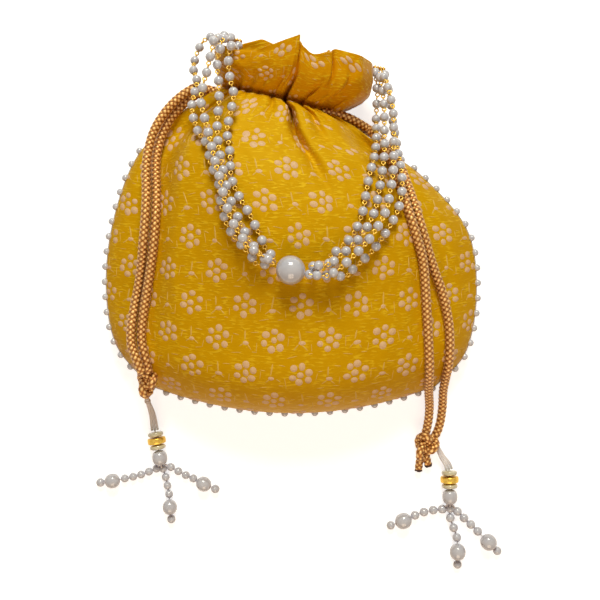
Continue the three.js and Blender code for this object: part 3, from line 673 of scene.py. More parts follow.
# Draw marks and tarnish on the wire, about 1 mm across.
tarnish = add_node(
    tree,
    "ShaderNodeTexNoise",
    {"Vector": gold_place.outputs["Object"], "Scale": 1000 / 1.0, "Detail": 3.0},
)
gold_tone = add_node(
    tree,
    "ShaderNodeMix",
    {"Factor": tarnish.outputs["Fac"], "A": linear("#b98628"), "B": linear("#ecc45e")},
    data_type="RGBA",
)
gold_gloss = add_node(
    tree, "ShaderNodeMapRange", {"Value": tarnish.outputs["Fac"], "To Min": 0.18, "To Max": 0.40}
)
gold_shader = add_node(
    tree,
    "ShaderNodeBsdfPrincipled",
    {
        "Base Color": gold_tone.outputs["Result"],
        "Metallic": 1.0,
        "Roughness": gold_gloss.outputs["Result"],
    },
)
tree.links.new(gold_shader.outputs["BSDF"], surface)
print("gold ready")

# %% [markdown]
# ## Beads
# Every bead is a profile turned round the thread it sits on. All beads of one string are one mesh, and
# the turning is done for all of them at once. A pearl needs only about a hundred faces because its
# shading is smooth. A second number bends the profile from a ball toward a box, which gives discs,
# rings and barrels.

# %% Turn beads


def beads(centres, directions, profile, sides=14):
    """Each bead: the (radius, place) profile turned round its direction, with a point at both ends."""
    centres = np.atleast_2d(np.asarray(centres, float))
    ahead = np.broadcast_to(np.asarray(directions, float), centres.shape)
    ahead = ahead / np.linalg.norm(ahead, axis=1, keepdims=True)
    helper = np.where(np.abs(ahead[:, 2:3]) < 0.9, [[0, 0, 1.0]], [[1.0, 0, 0]])
    side = np.cross(helper, ahead)
    side = side / np.linalg.norm(side, axis=1, keepdims=True)
    third = np.cross(ahead, side)
    angle = np.arange(sides) * 2 * np.pi / sides
    ring = side[:, None] * np.cos(angle)[None, :, None] + third[:, None] * np.sin(angle)[None, :, None]
    radius, place = np.asarray(profile, float)[1:-1].T
    walls = (
        centres[:, None, None]
        + ahead[:, None, None] * place[None, :, None, None]
        + ring[:, None] * radius[None, :, None, None]
    )
    tips = centres[:, None] + ahead[:, None] * np.array([profile[0][1], profile[-1][1]])[None, :, None]
    each = len(radius) * sides + 2
    points = np.concatenate([walls.reshape(len(centres), -1, 3), tips], 1).reshape(-1, 3)
    quads = np.array(ring_faces(len(radius), sides, False)[:-2])
    j = np.arange(sides)
    last = (len(radius) - 1) * sides
    start = np.stack([np.full(sides, each - 2), (j + 1) % sides, j], -1)
    finish = np.stack([last + j, last + (j + 1) % sides, np.full(sides, each - 1)], -1)
    shift = np.arange(len(centres))[:, None, None] * each
    faces = (quads[None] + shift).reshape(-1, 4).tolist()
    faces += (np.concatenate([start, finish])[None] + shift).reshape(-1, 3).tolist()
    return points, faces


def round_profile(diameter, length, squareness=2.0, rings=7):
    """Half outline of a bead: a circle for squareness 2, nearer to a box as it grows."""
    angle = np.linspace(-np.pi / 2, np.pi / 2, rings + 2)
    radius = np.maximum(np.cos(angle), 0) ** (2 / squareness) * diameter / 2
    place = np.sign(np.sin(angle)) * np.abs(np.sin(angle)) ** (2 / squareness) * length / 2
    return np.column_stack([radius, place])


def together(*shapes):
    """Several meshes as one list of points and one of faces."""
    points, faces, count = [], [], 0
    for some_points, some_faces in shapes:
        points.append(some_points)
        faces += [[corner + count for corner in face] for face in some_faces]
        count += len(some_points)
    return np.concatenate(points), faces


def toward_next(centres):
    """Direction from each bead to the next one on its string."""
    return np.gradient(np.asarray(centres, float), axis=0)


one_pearl = beads([[0, 0, 0]], [[1, 0, 0]], round_profile(1, 1))
print(len(one_pearl[1]), "faces on a pearl")

# %% [markdown]
# ## Thread
# The tassels hang on white polyester thread, matt and slightly hairy, with a fine twist.

# %% Thread material
thread, tree, surface = new_material("white polyester thread")
thread_place = add_node(tree, "ShaderNodeTexCoord")
# The twist repeats about every 1.2 mm.
twist = add_node(
    tree,
    "ShaderNodeTexWave",
    {"Vector": thread_place.outputs["Object"], "Scale": 1000 / 1.2 / 20, "Distortion": 1.5},
)
twist_tone = add_node(
    tree,
    "ShaderNodeMix",
    {"Factor": twist.outputs["Fac"], "A": linear("#e2e0e8"), "B": linear("#f8f6fb")},
    data_type="RGBA",
)
twist_bump = add_node(
    tree, "ShaderNodeBump", {"Height": twist.outputs["Fac"], "Strength": 0.4, "Distance": 0.2 * MM}
)
thread_shader = add_node(
    tree,
    "ShaderNodeBsdfPrincipled",
    {
        "Base Color": twist_tone.outputs["Result"],
        "Roughness": 0.75,
        "Normal": twist_bump.outputs["Normal"],
        "Sheen Weight": 0.3,
    },
)
tree.links.new(thread_shader.outputs["BSDF"], surface)
print("thread ready")

# %% [markdown]
# ## Tassels
# Under each knot hang two cream discs with a gold ring between them, a barrel pearl, and three strings
# of seed pearls that each end in a large drop and a small pearl. On the table the three strings fan
# out. Each bead's place on the plan is chosen on the photograph, and it lies on the table by its own
# radius.

# %% Places of the tassels
THREAD_DIAMETER, PLY_DIAMETER, THREAD_KNOT = 0.9, 1.5, 3.8
PLY_SPREAD_TOP, PLY_SPREAD_HEAD = 0.5, 1.7
END_DIAMETER = 5.4
HEAD_HEIGHT, THREAD_RISE = 5.7, 4.0
TASSELS = {
    "left": {
        "head": [(-83.4, -126.6), (-79.7, -147.6)],
        "knot_end": (-85.6, -104.5, 24.0),
        "drop": 9.0,
        "seed": 5.1,
        "middle": [(-79, -149.8), (-77.4, -155), (-76.3, -160.2), (-75.3, -165.4), (-74.6, -173)],
        "left": [(-83, -149.8), (-87.7, -151.6), (-92.5, -153.4), (-97.4, -154.7), (-102.5, -155.8),
                 (-109.8, -157)],
        "right": [(-74.2, -148.8), (-69.6, -151.4), (-65, -153.8), (-60.4, -155.8), (-53.9, -158.9)],
    },
    "right": {
        "head": [(96.3, -150.2), (96.8, -172)],
        "knot_end": (87.4, -133, 5.0),
        "drop": 9.9,
        "seed": 5.6,
        "middle": [(97.2, -174.2), (97.4, -180), (99.4, -186), (101.4, -192), (101.6, -200.4)],
        "left": [(92.4, -174.6), (86.9, -175.2), (81.2, -176.4), (75.7, -178.4), (68.4, -181.4)],
        "right": [(101.8, -176), (105.8, -180), (110, -184), (114.2, -188.2), (120.4, -194.4)],
    },
}
HEAD_STACK = [
    ("upper_disc", 9.6, 3.2, 3.2, cream),
    ("gold_ring", 11.2, 4.2, 6.0, gold),
    ("lower_disc", 9.8, 3.2, 3.2, cream),
    ("barrel_pearl", 9.4, 9.4, 2.4, pearl),
]
BEAD_GAP = 0.3
DROP_LENGTH, DROP_SQUARENESS = 1.05, 2.1
print(len(TASSELS), "tassels of", len(HEAD_STACK), "head pieces each")

# %% [markdown]
# The head's pieces stand one after the other on a straight line. Each string is a row of seeds, then
# the drop and the end pearl. The thread through the middle string starts at the cord's knot and passes
# the head, and the two side threads start inside the barrel.

# %% String the tassels


def string_of(plan, seed, drop):
    """Centres of seeds at rest on the table, the drop after them, and the end pearl past the drop."""
    plan = np.array(plan, float)
    seeds = np.column_stack([plan[:-1], np.full(len(plan) - 1, seed / 2)])
    large = np.array([*plan[-1], drop / 2])
    ahead = (plan[-1] - plan[-2]) / np.linalg.norm(plan[-1] - plan[-2])
    reach = DROP_LENGTH * drop / 2 + END_DIAMETER / 2 + BEAD_GAP
    last = np.array([*(plan[-1] + ahead * reach), END_DIAMETER / 2])
    return seeds, large, last, np.array([*ahead, 0.0])


tassel_threads = []
for side, tassel in TASSELS.items():
    head = np.array(tassel["head"], float)
    ahead = np.array([*(head[1] - head[0]), 0.0]) / np.linalg.norm(head[1] - head[0])
    place = np.array([*head[0], HEAD_HEIGHT])
    head_pieces = []
    for part, diameter, length, squareness, finish in HEAD_STACK:
        centre = place + ahead * length / 2
        shape = beads([centre], [ahead], round_profile(diameter, length, squareness, 11), 36)
        piece = make_piece(f"{side}_tassel_{part}", *shape, finish)
        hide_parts(f"tassel_{side}_{part}")
        head_pieces.append(piece)
        place = place + ahead * (length + BEAD_GAP)
    for branch in ("middle", "left", "right"):
        seeds, large, last, out = string_of(tassel[branch], tassel["seed"], tassel["drop"])
        row = together(
            beads(seeds, toward_next(seeds), round_profile(tassel["seed"], tassel["seed"])),
            beads([last], [out], round_profile(END_DIAMETER, END_DIAMETER)),
        )
        seed_piece = make_piece(f"{side}_tassel_{branch}_seeds", *row, pearl)
        drop = tassel["drop"]
        drop_profile = round_profile(drop, drop * DROP_LENGTH, DROP_SQUARENESS, 13)
        drop_shape = beads([large], [out], drop_profile, 36)
        drop_piece = make_piece(f"{side}_tassel_{branch}_drop", *drop_shape, pearl)
        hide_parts(f"tassel_{side}_{branch}_drop")
        if branch == "middle":
            knot_end = np.array(tassel["knot_end"])
            halfway = knot_end[:2] * 0.5 + head[0] * 0.5
            low = np.array([*halfway, min(knot_end[2], HEAD_HEIGHT + THREAD_RISE)])
            begin = [knot_end, low, np.array([*head[0], HEAD_HEIGHT]), place - ahead]
            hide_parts(f"tassel_{side}_core_string")
        else:
            begin = [place - ahead * 2]
            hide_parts(f"tassel_{side}_{branch}_string")
        line = spaced(smooth_path(np.vstack([begin, seeds, large, last])), 1.0)
        tassel_threads.append((side, branch, line, [seed_piece, drop_piece], head_pieces))
print(len(tassel_threads), "tassel strings")

# %% [markdown]
# Between the knot and the head the real thread shows as three plies side by side, tied on with a small
# wound knot. They run beside the thread and spread toward the head.

# %% Threads and plies
for side, branch, line, strung, head_pieces in tassel_threads:
    name = f"{side}_tassel_{branch}_thread"
    make_piece(name, *tube(line, THREAD_DIAMETER / 2, 8), thread)
    on_it = strung + (head_pieces if branch == "middle" else [])
    if branch == "middle":
        span = int(np.argmin(np.linalg.norm(line[:, :2] - TASSELS[side]["head"][0], axis=1)))
        beside = path_frame(line[:span])[2]
        spread = beside * np.linspace(PLY_SPREAD_TOP, PLY_SPREAD_HEAD, span)[:, None]
        plies = [tube(line[:span] + spread * place, PLY_DIAMETER / 2, 10) for place in (-1, 0, 1)]
        wound = beads([line[3]], [line[4] - line[2]], round_profile(THREAD_KNOT, THREAD_KNOT))
        on_it.append(make_piece(f"{side}_tassel_plies", *together(*plies, wound), thread))
for name, (route, mouth) in cord_routes.items():
    side = "left" if "left" in name else "right"

# %% [markdown]
# ## Brocade silk
# The cloth is a yellow brocade: a fine silk ground with a thicker weft that floats over it in short
# lines, and small woven flowers on top. Silk has a broad, soft highlight of its own colour rather than
# a white one, so the reflection is tinted, and the ground under it is a warmer yellow that shows in the
# shade. Thread spacing is about 0.25 mm, too fine for one pixel of 0.6 mm, so the weave is drawn at 0.9
# mm. The frill gets painted shade: its ground is a deeper orange than the pouch's, blended in across the
# slanting neck line, for the light that is caught and coloured between its pleats.

# %% Brocade material
brocade, tree, surface = new_material("yellow brocade silk")
cloth_map = add_node(tree, "ShaderNodeUVMap", uv_map="cloth")
# Weft floats: stretched spots of noise give dashes about 5 mm long and 1 mm apart.
dash_space = add_node(
    tree,
    "ShaderNodeVectorMath",
    {0: cloth_map.outputs["UV"], 1: (1 / 5, 1 / 1.1, 1)},
    operation="MULTIPLY",
)
dashes = add_node(
    tree, "ShaderNodeTexNoise", {"Vector": dash_space.outputs["Vector"], "Scale": 1.0, "Detail": 1.0}
)
floats = add_node(
    tree, "ShaderNodeMapRange", {"Value": dashes.outputs["Fac"], "From Min": 0.52, "From Max": 0.60}
)
# The floats come in patches about 7 mm across.
patches = add_node(
    tree, "ShaderNodeTexNoise", {"Vector": cloth_map.outputs["UV"], "Scale": 1 / 7, "Detail": 1.0}
)
patch_edge = add_node(
    tree, "ShaderNodeMapRange", {"Value": patches.outputs["Fac"], "From Min": 0.38, "From Max": 0.56}
)
float_mask = add_node(
    tree,
    "ShaderNodeMath",
    {0: floats.outputs["Result"], 1: patch_edge.outputs["Result"]},
    operation="MULTIPLY",
)
weave = add_node(
    tree,
    "ShaderNodeTexWave",
    {"Vector": cloth_map.outputs["UV"], "Scale": 1 / 0.9 / 20 * 6.283, "Distortion": 0.6},
    bands_direction="Y",
)
dye = add_node(
    tree, "ShaderNodeTexNoise", {"Vector": cloth_map.outputs["UV"], "Scale": 1 / 18, "Detail": 3.0}
)
ground = add_node(
    tree,
    "ShaderNodeMix",
    {"Factor": dye.outputs["Fac"], "A": linear("#d49e04"), "B": linear("#deaa06")},
    data_type="RGBA",
)
# Distance up the bag's slanting axis: the frill's painted orange shade begins at 64 mm and is full at 78
# mm.
cloth_place = add_node(tree, "ShaderNodeTexCoord")
past_neck = add_node(
    tree,
    "ShaderNodeVectorMath",
    {0: cloth_place.outputs["Object"], 1: (0.236, 0.972, 0)},
    operation="DOT_PRODUCT",
)
frill_shade_share = add_node(
    tree,
    "ShaderNodeMapRange",
    {"Value": past_neck.outputs["Value"], "From Min": 64 * MM, "From Max": 78 * MM},
)
ground_with_frill_shade = add_node(
    tree,
    "ShaderNodeMix",
    {"Factor": frill_shade_share.outputs["Result"], "A": ground.outputs["Result"], "B": linear("#dc9a04")},
    data_type="RGBA",
)
with_floats = add_node(
    tree,
    "ShaderNodeMix",
    {"Factor": float_mask.outputs["Value"], "A": ground_with_frill_shade.outputs["Result"], "B": linear("#ecc020")},
    data_type="RGBA",
)
relief = add_node(
    tree,
    "ShaderNodeMath",
    {0: weave.outputs["Fac"], 1: 0.25, 2: float_mask.outputs["Value"]},
    operation="MULTIPLY_ADD",
)
weave_bump = add_node(
    tree, "ShaderNodeBump", {"Height": relief.outputs["Value"], "Strength": 0.5, "Distance": 0.25 * MM}
)
silk_gloss = add_node(
    tree, "ShaderNodeMapRange", {"Value": float_mask.outputs["Value"], "To Min": 0.52, "To Max": 0.40}
)
brocade_shader = add_node(
    tree,
    "ShaderNodeBsdfPrincipled",
    {
        "Base Color": with_floats.outputs["Result"],
        "Roughness": silk_gloss.outputs["Result"],
        "Specular IOR Level": 0.4,
        "Specular Tint": linear("#ffec40"),
        "Sheen Weight": 0.05,
        "Sheen Roughness": 0.4,
        "Sheen Tint": linear("#ffd94a"),
        "Normal": weave_bump.outputs["Normal"],
    },
)
tree.links.new(brocade_shader.outputs["BSDF"], surface)
print("brocade ready")

# %% [markdown]
# ## The two panels
# Each panel is one grid of the cloth surface. Its map holds millimetres of flat cloth: the distance up
# the middle, and the distance across from the middle. At the neck more cloth is crowded into each
# millimetre, so the map counts faster there, and the pattern closes up in the gathers as it does on the
# real bag. Solidify gives the silk its thickness on the inside.

# %% Silk panels
CLOTH_WALL = 1.2
NECK_CROWDING, FRILL_RELEASE = 0.5, 0.75


def flat_map(grid, t):
    """Flat cloth under each grid point: arc length across from the middle, and up the middle column."""
    steps = np.linalg.norm(np.diff(grid, axis=1), axis=2)
    across = np.concatenate([np.zeros((len(grid), 1)), np.cumsum(steps, 1)], 1)
    across = across - across[:, [grid.shape[1] // 2]]
    release = 1 - FRILL_RELEASE * smoothstep(7.2, 8.6, t)
    crowd = 1 + NECK_CROWDING * smoothstep(4.4, 6.8, t) * release
    middle = grid[:, grid.shape[1] // 2]
    up = np.concatenate([[0], np.cumsum(np.linalg.norm(np.diff(middle, axis=0), axis=1))])
    return across * crowd[:, None], up


def grid_faces(rows, columns, turned):
    """Quads of a grid, facing up, or down when turned."""
    i, j = np.arange(rows - 1)[:, None], np.arange(columns - 1)[None, :]
    corner = i * columns + j
    quads = np.stack([corner, corner + 1, corner + columns + 1, corner + columns], -1).reshape(-1, 4)
    return (quads[:, ::-1] if turned else quads).tolist()


def silk_panel(name, grid, t, turned):
    """A cloth panel with its flat map and a wall on the inside."""
    across, up = flat_map(grid, t)
    uv = np.stack([across, np.broadcast_to(up[:, None], across.shape)], -1).reshape(-1, 2)
    faces = grid_faces(*grid.shape[:2], turned)
    panel = make_piece(name, grid.reshape(-1, 3), faces, brocade, uv=uv)
    wall = panel.modifiers.new("silk thickness", "SOLIDIFY")
    wall.thickness = CLOTH_WALL * MM
    wall.offset = -1
    return panel


BACK_U, BACK_T = np.linspace(0, 1, 110), np.linspace(0, FRILL_EDGE, 130)
back = cloth(BACK_U[None, :], BACK_T[:, None], -1)
silk_front = silk_panel("silk_front", front, FRONT_T, False)
silk_back = silk_panel("silk_back", back, BACK_T, True)
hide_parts("front_panel")
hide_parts("back_panel")
print(len(silk_front.data.polygons), "faces in front")

# %% [markdown]
# ## Woven flowers
# The buti flowers and the small sprigs between them are woven with a thicker pale thread that stands up
# from the ground. A picture of them in the material would stay flat, so each dot and stroke is a small
# raised pad. Two threads are used: a pale one for the flowers and a bright yellow one for the thin
# strokes.

# %% Threads of the pattern


def silk_thread(name, shade, light):
    """Loosely twisted silk, satin-stitched: two tones mixed by stitches 0.5 mm apart, drawn at 0.8 mm."""
    material, tree, surface = new_material(name)
    place = add_node(tree, "ShaderNodeTexCoord")
    stitches = add_node(
        tree,
        "ShaderNodeTexNoise",
        {"Vector": place.outputs["Object"], "Scale": 1000 / 0.8, "Detail": 2.0},
    )
    tone = add_node(
        tree,
        "ShaderNodeMix",
        {"Factor": stitches.outputs["Fac"], "A": linear(shade), "B": linear(light)},
        data_type="RGBA",
    )
    bump = add_node(
        tree, "ShaderNodeBump", {"Height": stitches.outputs["Fac"], "Strength": 0.5, "Distance": 0.3 * MM}
    )
    shader = add_node(
        tree,
        "ShaderNodeBsdfPrincipled",
        {"Base Color": tone.outputs["Result"], "Roughness": 0.6, "Normal": bump.outputs["Normal"]},
    )
    tree.links.new(shader.outputs["BSDF"], surface)
    return material


buti = silk_thread("pale buti thread", "#d4a068", "#f6d8b0")
weft = silk_thread("bright weft thread", "#dcac38", "#ecc866")
print("pattern threads ready")

# %% [markdown]
# A pad is an ellipse drawn on the flat cloth. Every one of its points is carried to the folded surface
# through the panel's map, so the flowers bend with the folds. That needs the map read backwards: the
# row is found from the distance up, and the place in the row from the distance across.

# %% From flat cloth to the folds


def on_cloth(across, up, grid, t, lift):
    """Flat cloth millimetres to a place on the folded panel: find the row, then the place across it.

    Returns the points, lifted off the cloth along its normal, and which of them lie on the panel at all.
    """
    row_map, up_map = flat_map(grid, t)
    row = np.interp(up, up_map, np.arange(len(up_map)))
    i = np.clip(np.floor(row).astype(int), 0, len(up_map) - 2)
    f = (row - i)[:, None]
    places = row_map[i] * (1 - f) + row_map[i + 1] * f
    j = np.clip((places < across[:, None]).sum(1), 1, grid.shape[1] - 1)
    n = np.arange(len(across))
    g = ((across - places[n, j - 1]) / (places[n, j] - places[n, j - 1]))[:, None]
    held = (g[:, 0] >= 0) & (g[:, 0] <= 1) & (up > up_map[1]) & (up < up_map[-2])
    a, b = grid[i, j - 1], grid[i, j]
    c, d = grid[i + 1, j - 1], grid[i + 1, j]
    point = (a * (1 - g) + b * g) * (1 - f) + (c * (1 - g) + d * g) * f
    normal = np.cross((b - a) + (d - c), (c - a) + (d - b))
    normal = normal / np.maximum(np.linalg.norm(normal, axis=1, keepdims=True), 1e-9)
    return point + normal * lift[:, None], held


print("map reads both ways")

# %% [markdown]
# A buti is a heart with six petals. Between the flowers stands a sprig: a blunt heart with a stem, two
# roots and thin lines round it that run at right angles, like a maze. Weavers' dots are never quite
# alike, so places and sizes stray a little. Each pad is a row of five numbers: place across and up, two
# radii and a turn.

# %% Flowers and sprigs
PETAL_RADIUS, PETAL_DISTANCE, HEART_RADIUS = 2.1, 5.2, 2.0
FLOWER_STRAY, SPRIG_STRAY = 0.28, 0.4


def flower_pads(middles):
    """Seven round pads for every middle: a heart, and six petals on a circle round it."""
    stray = np.random.default_rng(4)
    turn = np.radians(np.arange(20, 380, 60))
    petals = np.stack([np.cos(turn), np.sin(turn)], -1) * PETAL_DISTANCE
    offsets = np.vstack([[[0, 0]], petals])
    sizes = np.array([HEART_RADIUS] + [PETAL_RADIUS] * 6)
    pads = np.zeros((len(middles), 7, 5))
    pads[..., :2] = middles[:, None] + offsets[None] + stray.normal(0, FLOWER_STRAY, (len(middles), 7, 2))
    pads[..., 2:4] = sizes[None, :, None] * stray.uniform(0.8, 1.12, (len(middles), 7, 2))
    return pads.reshape(-1, 5)


def sprig_pads(middles, strokes):
    """For every middle a blunt heart, or the strokes round it: a stem, two roots and the thin maze."""
    heart = np.array([[0.0, 0.0, 1.9, 1.2, 0.0]])
    upright = np.pi / 2
    lines = np.array(
        [
            [0.0, 4.4, 3.4, 0.5, upright],
            [-2.4, -1.5, 2.0, 0.36, np.radians(40)],
            [2.4, -1.5, 2.0, 0.36, np.radians(-40)],
            [-6.8, 1.6, 2.8, 0.24, upright],
            [-5.2, 4.6, 1.7, 0.24, 0.0],
            [6.6, -1.8, 3.0, 0.24, upright],
            [4.9, -4.9, 1.8, 0.24, 0.0],
            [-4.6, -6.2, 2.6, 0.24, 0.0],
            [4.6, 6.8, 2.4, 0.24, 0.0],
        ]
    )
    shape = lines if strokes else heart
    stray = np.random.default_rng(9)
    pads = np.broadcast_to(shape, (len(middles), *shape.shape)).copy()
    pads[..., :2] += middles[:, None] + stray.normal(0, SPRIG_STRAY, (*pads.shape[:2], 2))
    pads[..., 2] *= stray.uniform(0.7, 1.25, pads.shape[:2])
    pads[..., 4] += stray.normal(0, 0.14, pads.shape[:2])
    return pads.reshape(-1, 5)


print("a flower is", 2 * (PETAL_DISTANCE + PETAL_RADIUS), "mm across")

# %% [markdown]
# Every pad becomes a small dome of two rings and a middle. In a sharp fold a pad would be pulled long
# or bent like a leaf, so such pads are left out.

# %% Raised pads
MOST_STRETCH, MOST_BEND = 1.35, 0.3


def pad_mesh(pads, grid, t, height, sides=10):
    """Ellipses of two rings and a middle on flat cloth, domed and carried to the panel.

    Pads that leave the panel, or that a fold pulls too long or bends too far, are left out.
    """
    turn = np.arange(sides) * 2 * np.pi / sides
    circle = np.stack([np.cos(turn), np.sin(turn)], -1)
    flat = np.concatenate([[[0, 0]], circle * 0.62, circle])
    dome = np.concatenate([[1.0], np.full(sides, 0.78), np.full(sides, 0.08)]) * height
    x, y = flat[None, :, 0] * pads[:, 2:3], flat[None, :, 1] * pads[:, 3:4]
    cos, sin = np.cos(pads[:, 4:5]), np.sin(pads[:, 4:5])
    across, up = pads[:, :1] + x * cos - y * sin, pads[:, 1:2] + x * sin + y * cos
    lift = np.broadcast_to(dome, across.shape)
    points, held = on_cloth(across.ravel(), up.ravel(), grid, t, lift.ravel())
    points = points.reshape(*across.shape, 3)
    spread = np.linalg.norm(points[:, 1:] - points[:, :1], axis=2).max(1)
    even = spread < MOST_STRETCH * np.maximum(pads[:, 2], pads[:, 3]) + abs(height)
    ring = points[:, 1 + sides :]
    half, quarter = sides // 2, sides // 4
    face = np.cross(ring[:, 0] - ring[:, half], ring[:, quarter] - ring[:, quarter + half])
    face = face / np.maximum(np.linalg.norm(face, axis=1, keepdims=True), 1e-9)
    bend = np.abs(((ring - ring.mean(1, keepdims=True)) * face[:, None]).sum(2)).max(1)
    even = even & (bend < MOST_BEND)
    whole = held.reshape(across.shape).all(1) & even
    points = points[whole].reshape(-1, 3)
    j = np.arange(sides)
    beside = (j + 1) % sides
    fan = np.stack([np.zeros(sides, int), 1 + j, 1 + beside], -1)
    quads = np.stack([1 + j, 1 + sides + j, 1 + sides + beside, 1 + beside], -1)
    shift = np.arange(whole.sum())[:, None, None] * (1 + 2 * sides)
    faces = (fan[None] + shift).reshape(-1, 3).tolist()
    return points, faces + (quads[None] + shift).reshape(-1, 4).tolist()


print("pads ready")

# %% [markdown]
# The flowers repeat every 31.5 mm, in rows 19.5 mm apart that step sideways by half. The sprigs stand
# half a pitch beside them. One flower's place is read off the photograph, and the rest follow from it.

# %% Flowers on the front
FLOWER_PITCH, ROW_PITCH = 31.5, 19.5
FIRST_ACROSS, FIRST_Y, SPRIG_DROP = 5.0, -49.5, 2.5
FLOWER_LIFT, SPRIG_LIFT, STROKE_LIFT = 0.45, 0.3, 0.2


def lattice(first, across, up):
    """Middles on rows that step sideways by half a pitch, enough of them to cover the panel."""
    column, row = np.meshgrid(np.arange(-8, 9), np.arange(-10, 16))
    x = first[0] + (column + 0.5 * (row % 2)) * across
    y = first[1] + row * up
    return np.stack([x, y], -1).reshape(-1, 2)


front_up = flat_map(front, FRONT_T)[1]
middle_column = front[:, len(FRONT_U) // 2, 1]
first_flower = (FIRST_ACROSS, np.interp(FIRST_Y, middle_column, front_up))
first_sprig = (first_flower[0] + FLOWER_PITCH / 2, first_flower[1] - SPRIG_DROP)
flowers = lattice(first_flower, FLOWER_PITCH, ROW_PITCH)
sprigs = lattice(first_sprig, FLOWER_PITCH, ROW_PITCH)
front_buti = together(
    pad_mesh(flower_pads(flowers), front, FRONT_T, FLOWER_LIFT),
    pad_mesh(sprig_pads(sprigs, False), front, FRONT_T, SPRIG_LIFT),
)
front_strokes = pad_mesh(sprig_pads(sprigs, True), front, FRONT_T, STROKE_LIFT)
buti_front = make_piece("buti_front", *front_buti, buti)
strokes_front = make_piece("strokes_front", *front_strokes, weft)
print(len(buti_front.data.polygons), "faces of woven flowers")

# %% [markdown]
# The back panel carries the same flowers. Its cloth faces down, so the pads are lifted the other way
# and their faces are turned round. The table presses them flat.

# %% Flowers on the back
BACK_FLOWER_LIFT, BACK_SPRIG_LIFT, ABOVE_TABLE = 0.4, 0.25, 0.05
back_buti_points, back_buti_faces = together(
    pad_mesh(flower_pads(flowers), back, BACK_T, -BACK_FLOWER_LIFT),
    pad_mesh(sprig_pads(sprigs, False), back, BACK_T, -BACK_SPRIG_LIFT),
)
back_buti_points[:, 2] = np.maximum(back_buti_points[:, 2], ABOVE_TABLE)
buti_back = make_piece("buti_back", back_buti_points, [face[::-1] for face in back_buti_faces], buti)
print(len(buti_back.data.polygons), "faces behind")

# %% [markdown]
# ## Lining
# Inside hangs a plain cream lining that ends at the casing. Only its rim can be seen, through the
# frill's mouth. It is a cup, open at the top: one ring round the inside at each level, a little inside
# both panels.

# %% Lining cotton
lining_cotton, tree, surface = new_material("cream cotton lining")
# Plain-woven cotton, matt; threads 0.4 mm apart drawn at 1 mm.
lining_place = add_node(tree, "ShaderNodeTexCoord")
lining_weave = add_node(
    tree,
    "ShaderNodeTexNoise",
    {"Vector": lining_place.outputs["Object"], "Scale": 1000 / 1.0, "Detail": 2.0},
)
lining_tone = add_node(
    tree,
    "ShaderNodeMix",
    {"Factor": lining_weave.outputs["Fac"], "A": linear("#d9c79a"), "B": linear("#efe2bd")},
    data_type="RGBA",
)
lining_bump = add_node(
    tree, "ShaderNodeBump", {"Height": lining_weave.outputs["Fac"], "Strength": 0.3, "Distance": 0.2 * MM}
)
lining_shader = add_node(
    tree,
    "ShaderNodeBsdfPrincipled",
    {
        "Base Color": lining_tone.outputs["Result"],
        "Roughness": 0.85,
        "Normal": lining_bump.outputs["Normal"],
    },
)
tree.links.new(lining_shader.outputs["BSDF"], surface)
print("cotton ready")

# %% [markdown]
# The lining hangs 2.4 mm inside the panels, and near the neck it draws in further to leave room for the
# casing with its two cords.

# %% Lining cup
LINING_WALL, LINING_GAP, CASING_ROOM = 0.5, 2.4, 7
LINING_U, LINING_T = np.linspace(0.05, 0.95, 46), np.linspace(0.25, 7.6, 60)


def lining_side(side):
    """One side of the cup: the panel's surface, narrower, and drawn toward the seam's height."""
    surface_points = cloth(LINING_U[None, :], LINING_T[:, None], side)
    seam = along(SEAM, LINING_T)[:, None]
    inset = LINING_GAP + CASING_ROOM * smoothstep(4.6, 5.8, LINING_T)[:, None]
    surface_points[..., 2] = seam + side * np.maximum(np.abs(surface_points[..., 2] - seam) - inset, 0.6)
    return surface_points


cup = np.concatenate([lining_side(1), lining_side(-1)[:, ::-1]], 1)
cup_faces = [face[::-1] for face in ring_faces(*cup.shape[:2], False)[:-1]]
lining = make_piece("lining_cup", cup.reshape(-1, 3), cup_faces, lining_cotton)
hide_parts("lining")
wall = lining.modifiers.new("cotton thickness", "SOLIDIFY")
wall.thickness = LINING_WALL * MM
wall.offset = 1
print("lining", cup.shape)

# %% [markdown]
# ## Pearls along the seam
# A row of pearls about 4 mm across is sewn along the side and bottom seam, on one thread from pearl to
# pearl. The row follows the seam line a little outside it, so the pearls frame the pouch.

# %% Edge pearls
EDGE_PEARL, EDGE_PITCH, EDGE_OUT, EDGE_THREAD = 4.3, 9.1, 0.7, 0.4
LEFT_SHOULDER, RIGHT_SHOULDER = 4.35, 5.0
bottom = np.linspace(0, 1, 90)[1:-1]
seam_line = np.concatenate(
    [
        cloth(np.zeros(90), np.linspace(LEFT_SHOULDER, 0, 90), 1),
        cloth(bottom, np.zeros(88), 1),
        cloth(np.ones(90), np.linspace(0, RIGHT_SHOULDER, 90), 1),
    ]
)
seam_line = spaced(seam_line, 1.0)
seam_tangent = path_frame(seam_line)[0]
outside = np.column_stack([seam_tangent[:, 1], -seam_tangent[:, 0], np.zeros(len(seam_line))])
pearl_line = spaced(seam_line + outside * EDGE_OUT, EDGE_PITCH / 8)
edge_centres = pearl_line[::8]
edge_pearls = together(
    beads(edge_centres, toward_next(edge_centres), round_profile(EDGE_PEARL, EDGE_PEARL)),
    tube(seam_line, EDGE_THREAD, 8),
)
edge_trim = make_piece("edge_pearls", *edge_pearls, pearl)
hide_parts("edge_pearl_trim")
print(len(edge_centres), "edge pearls")
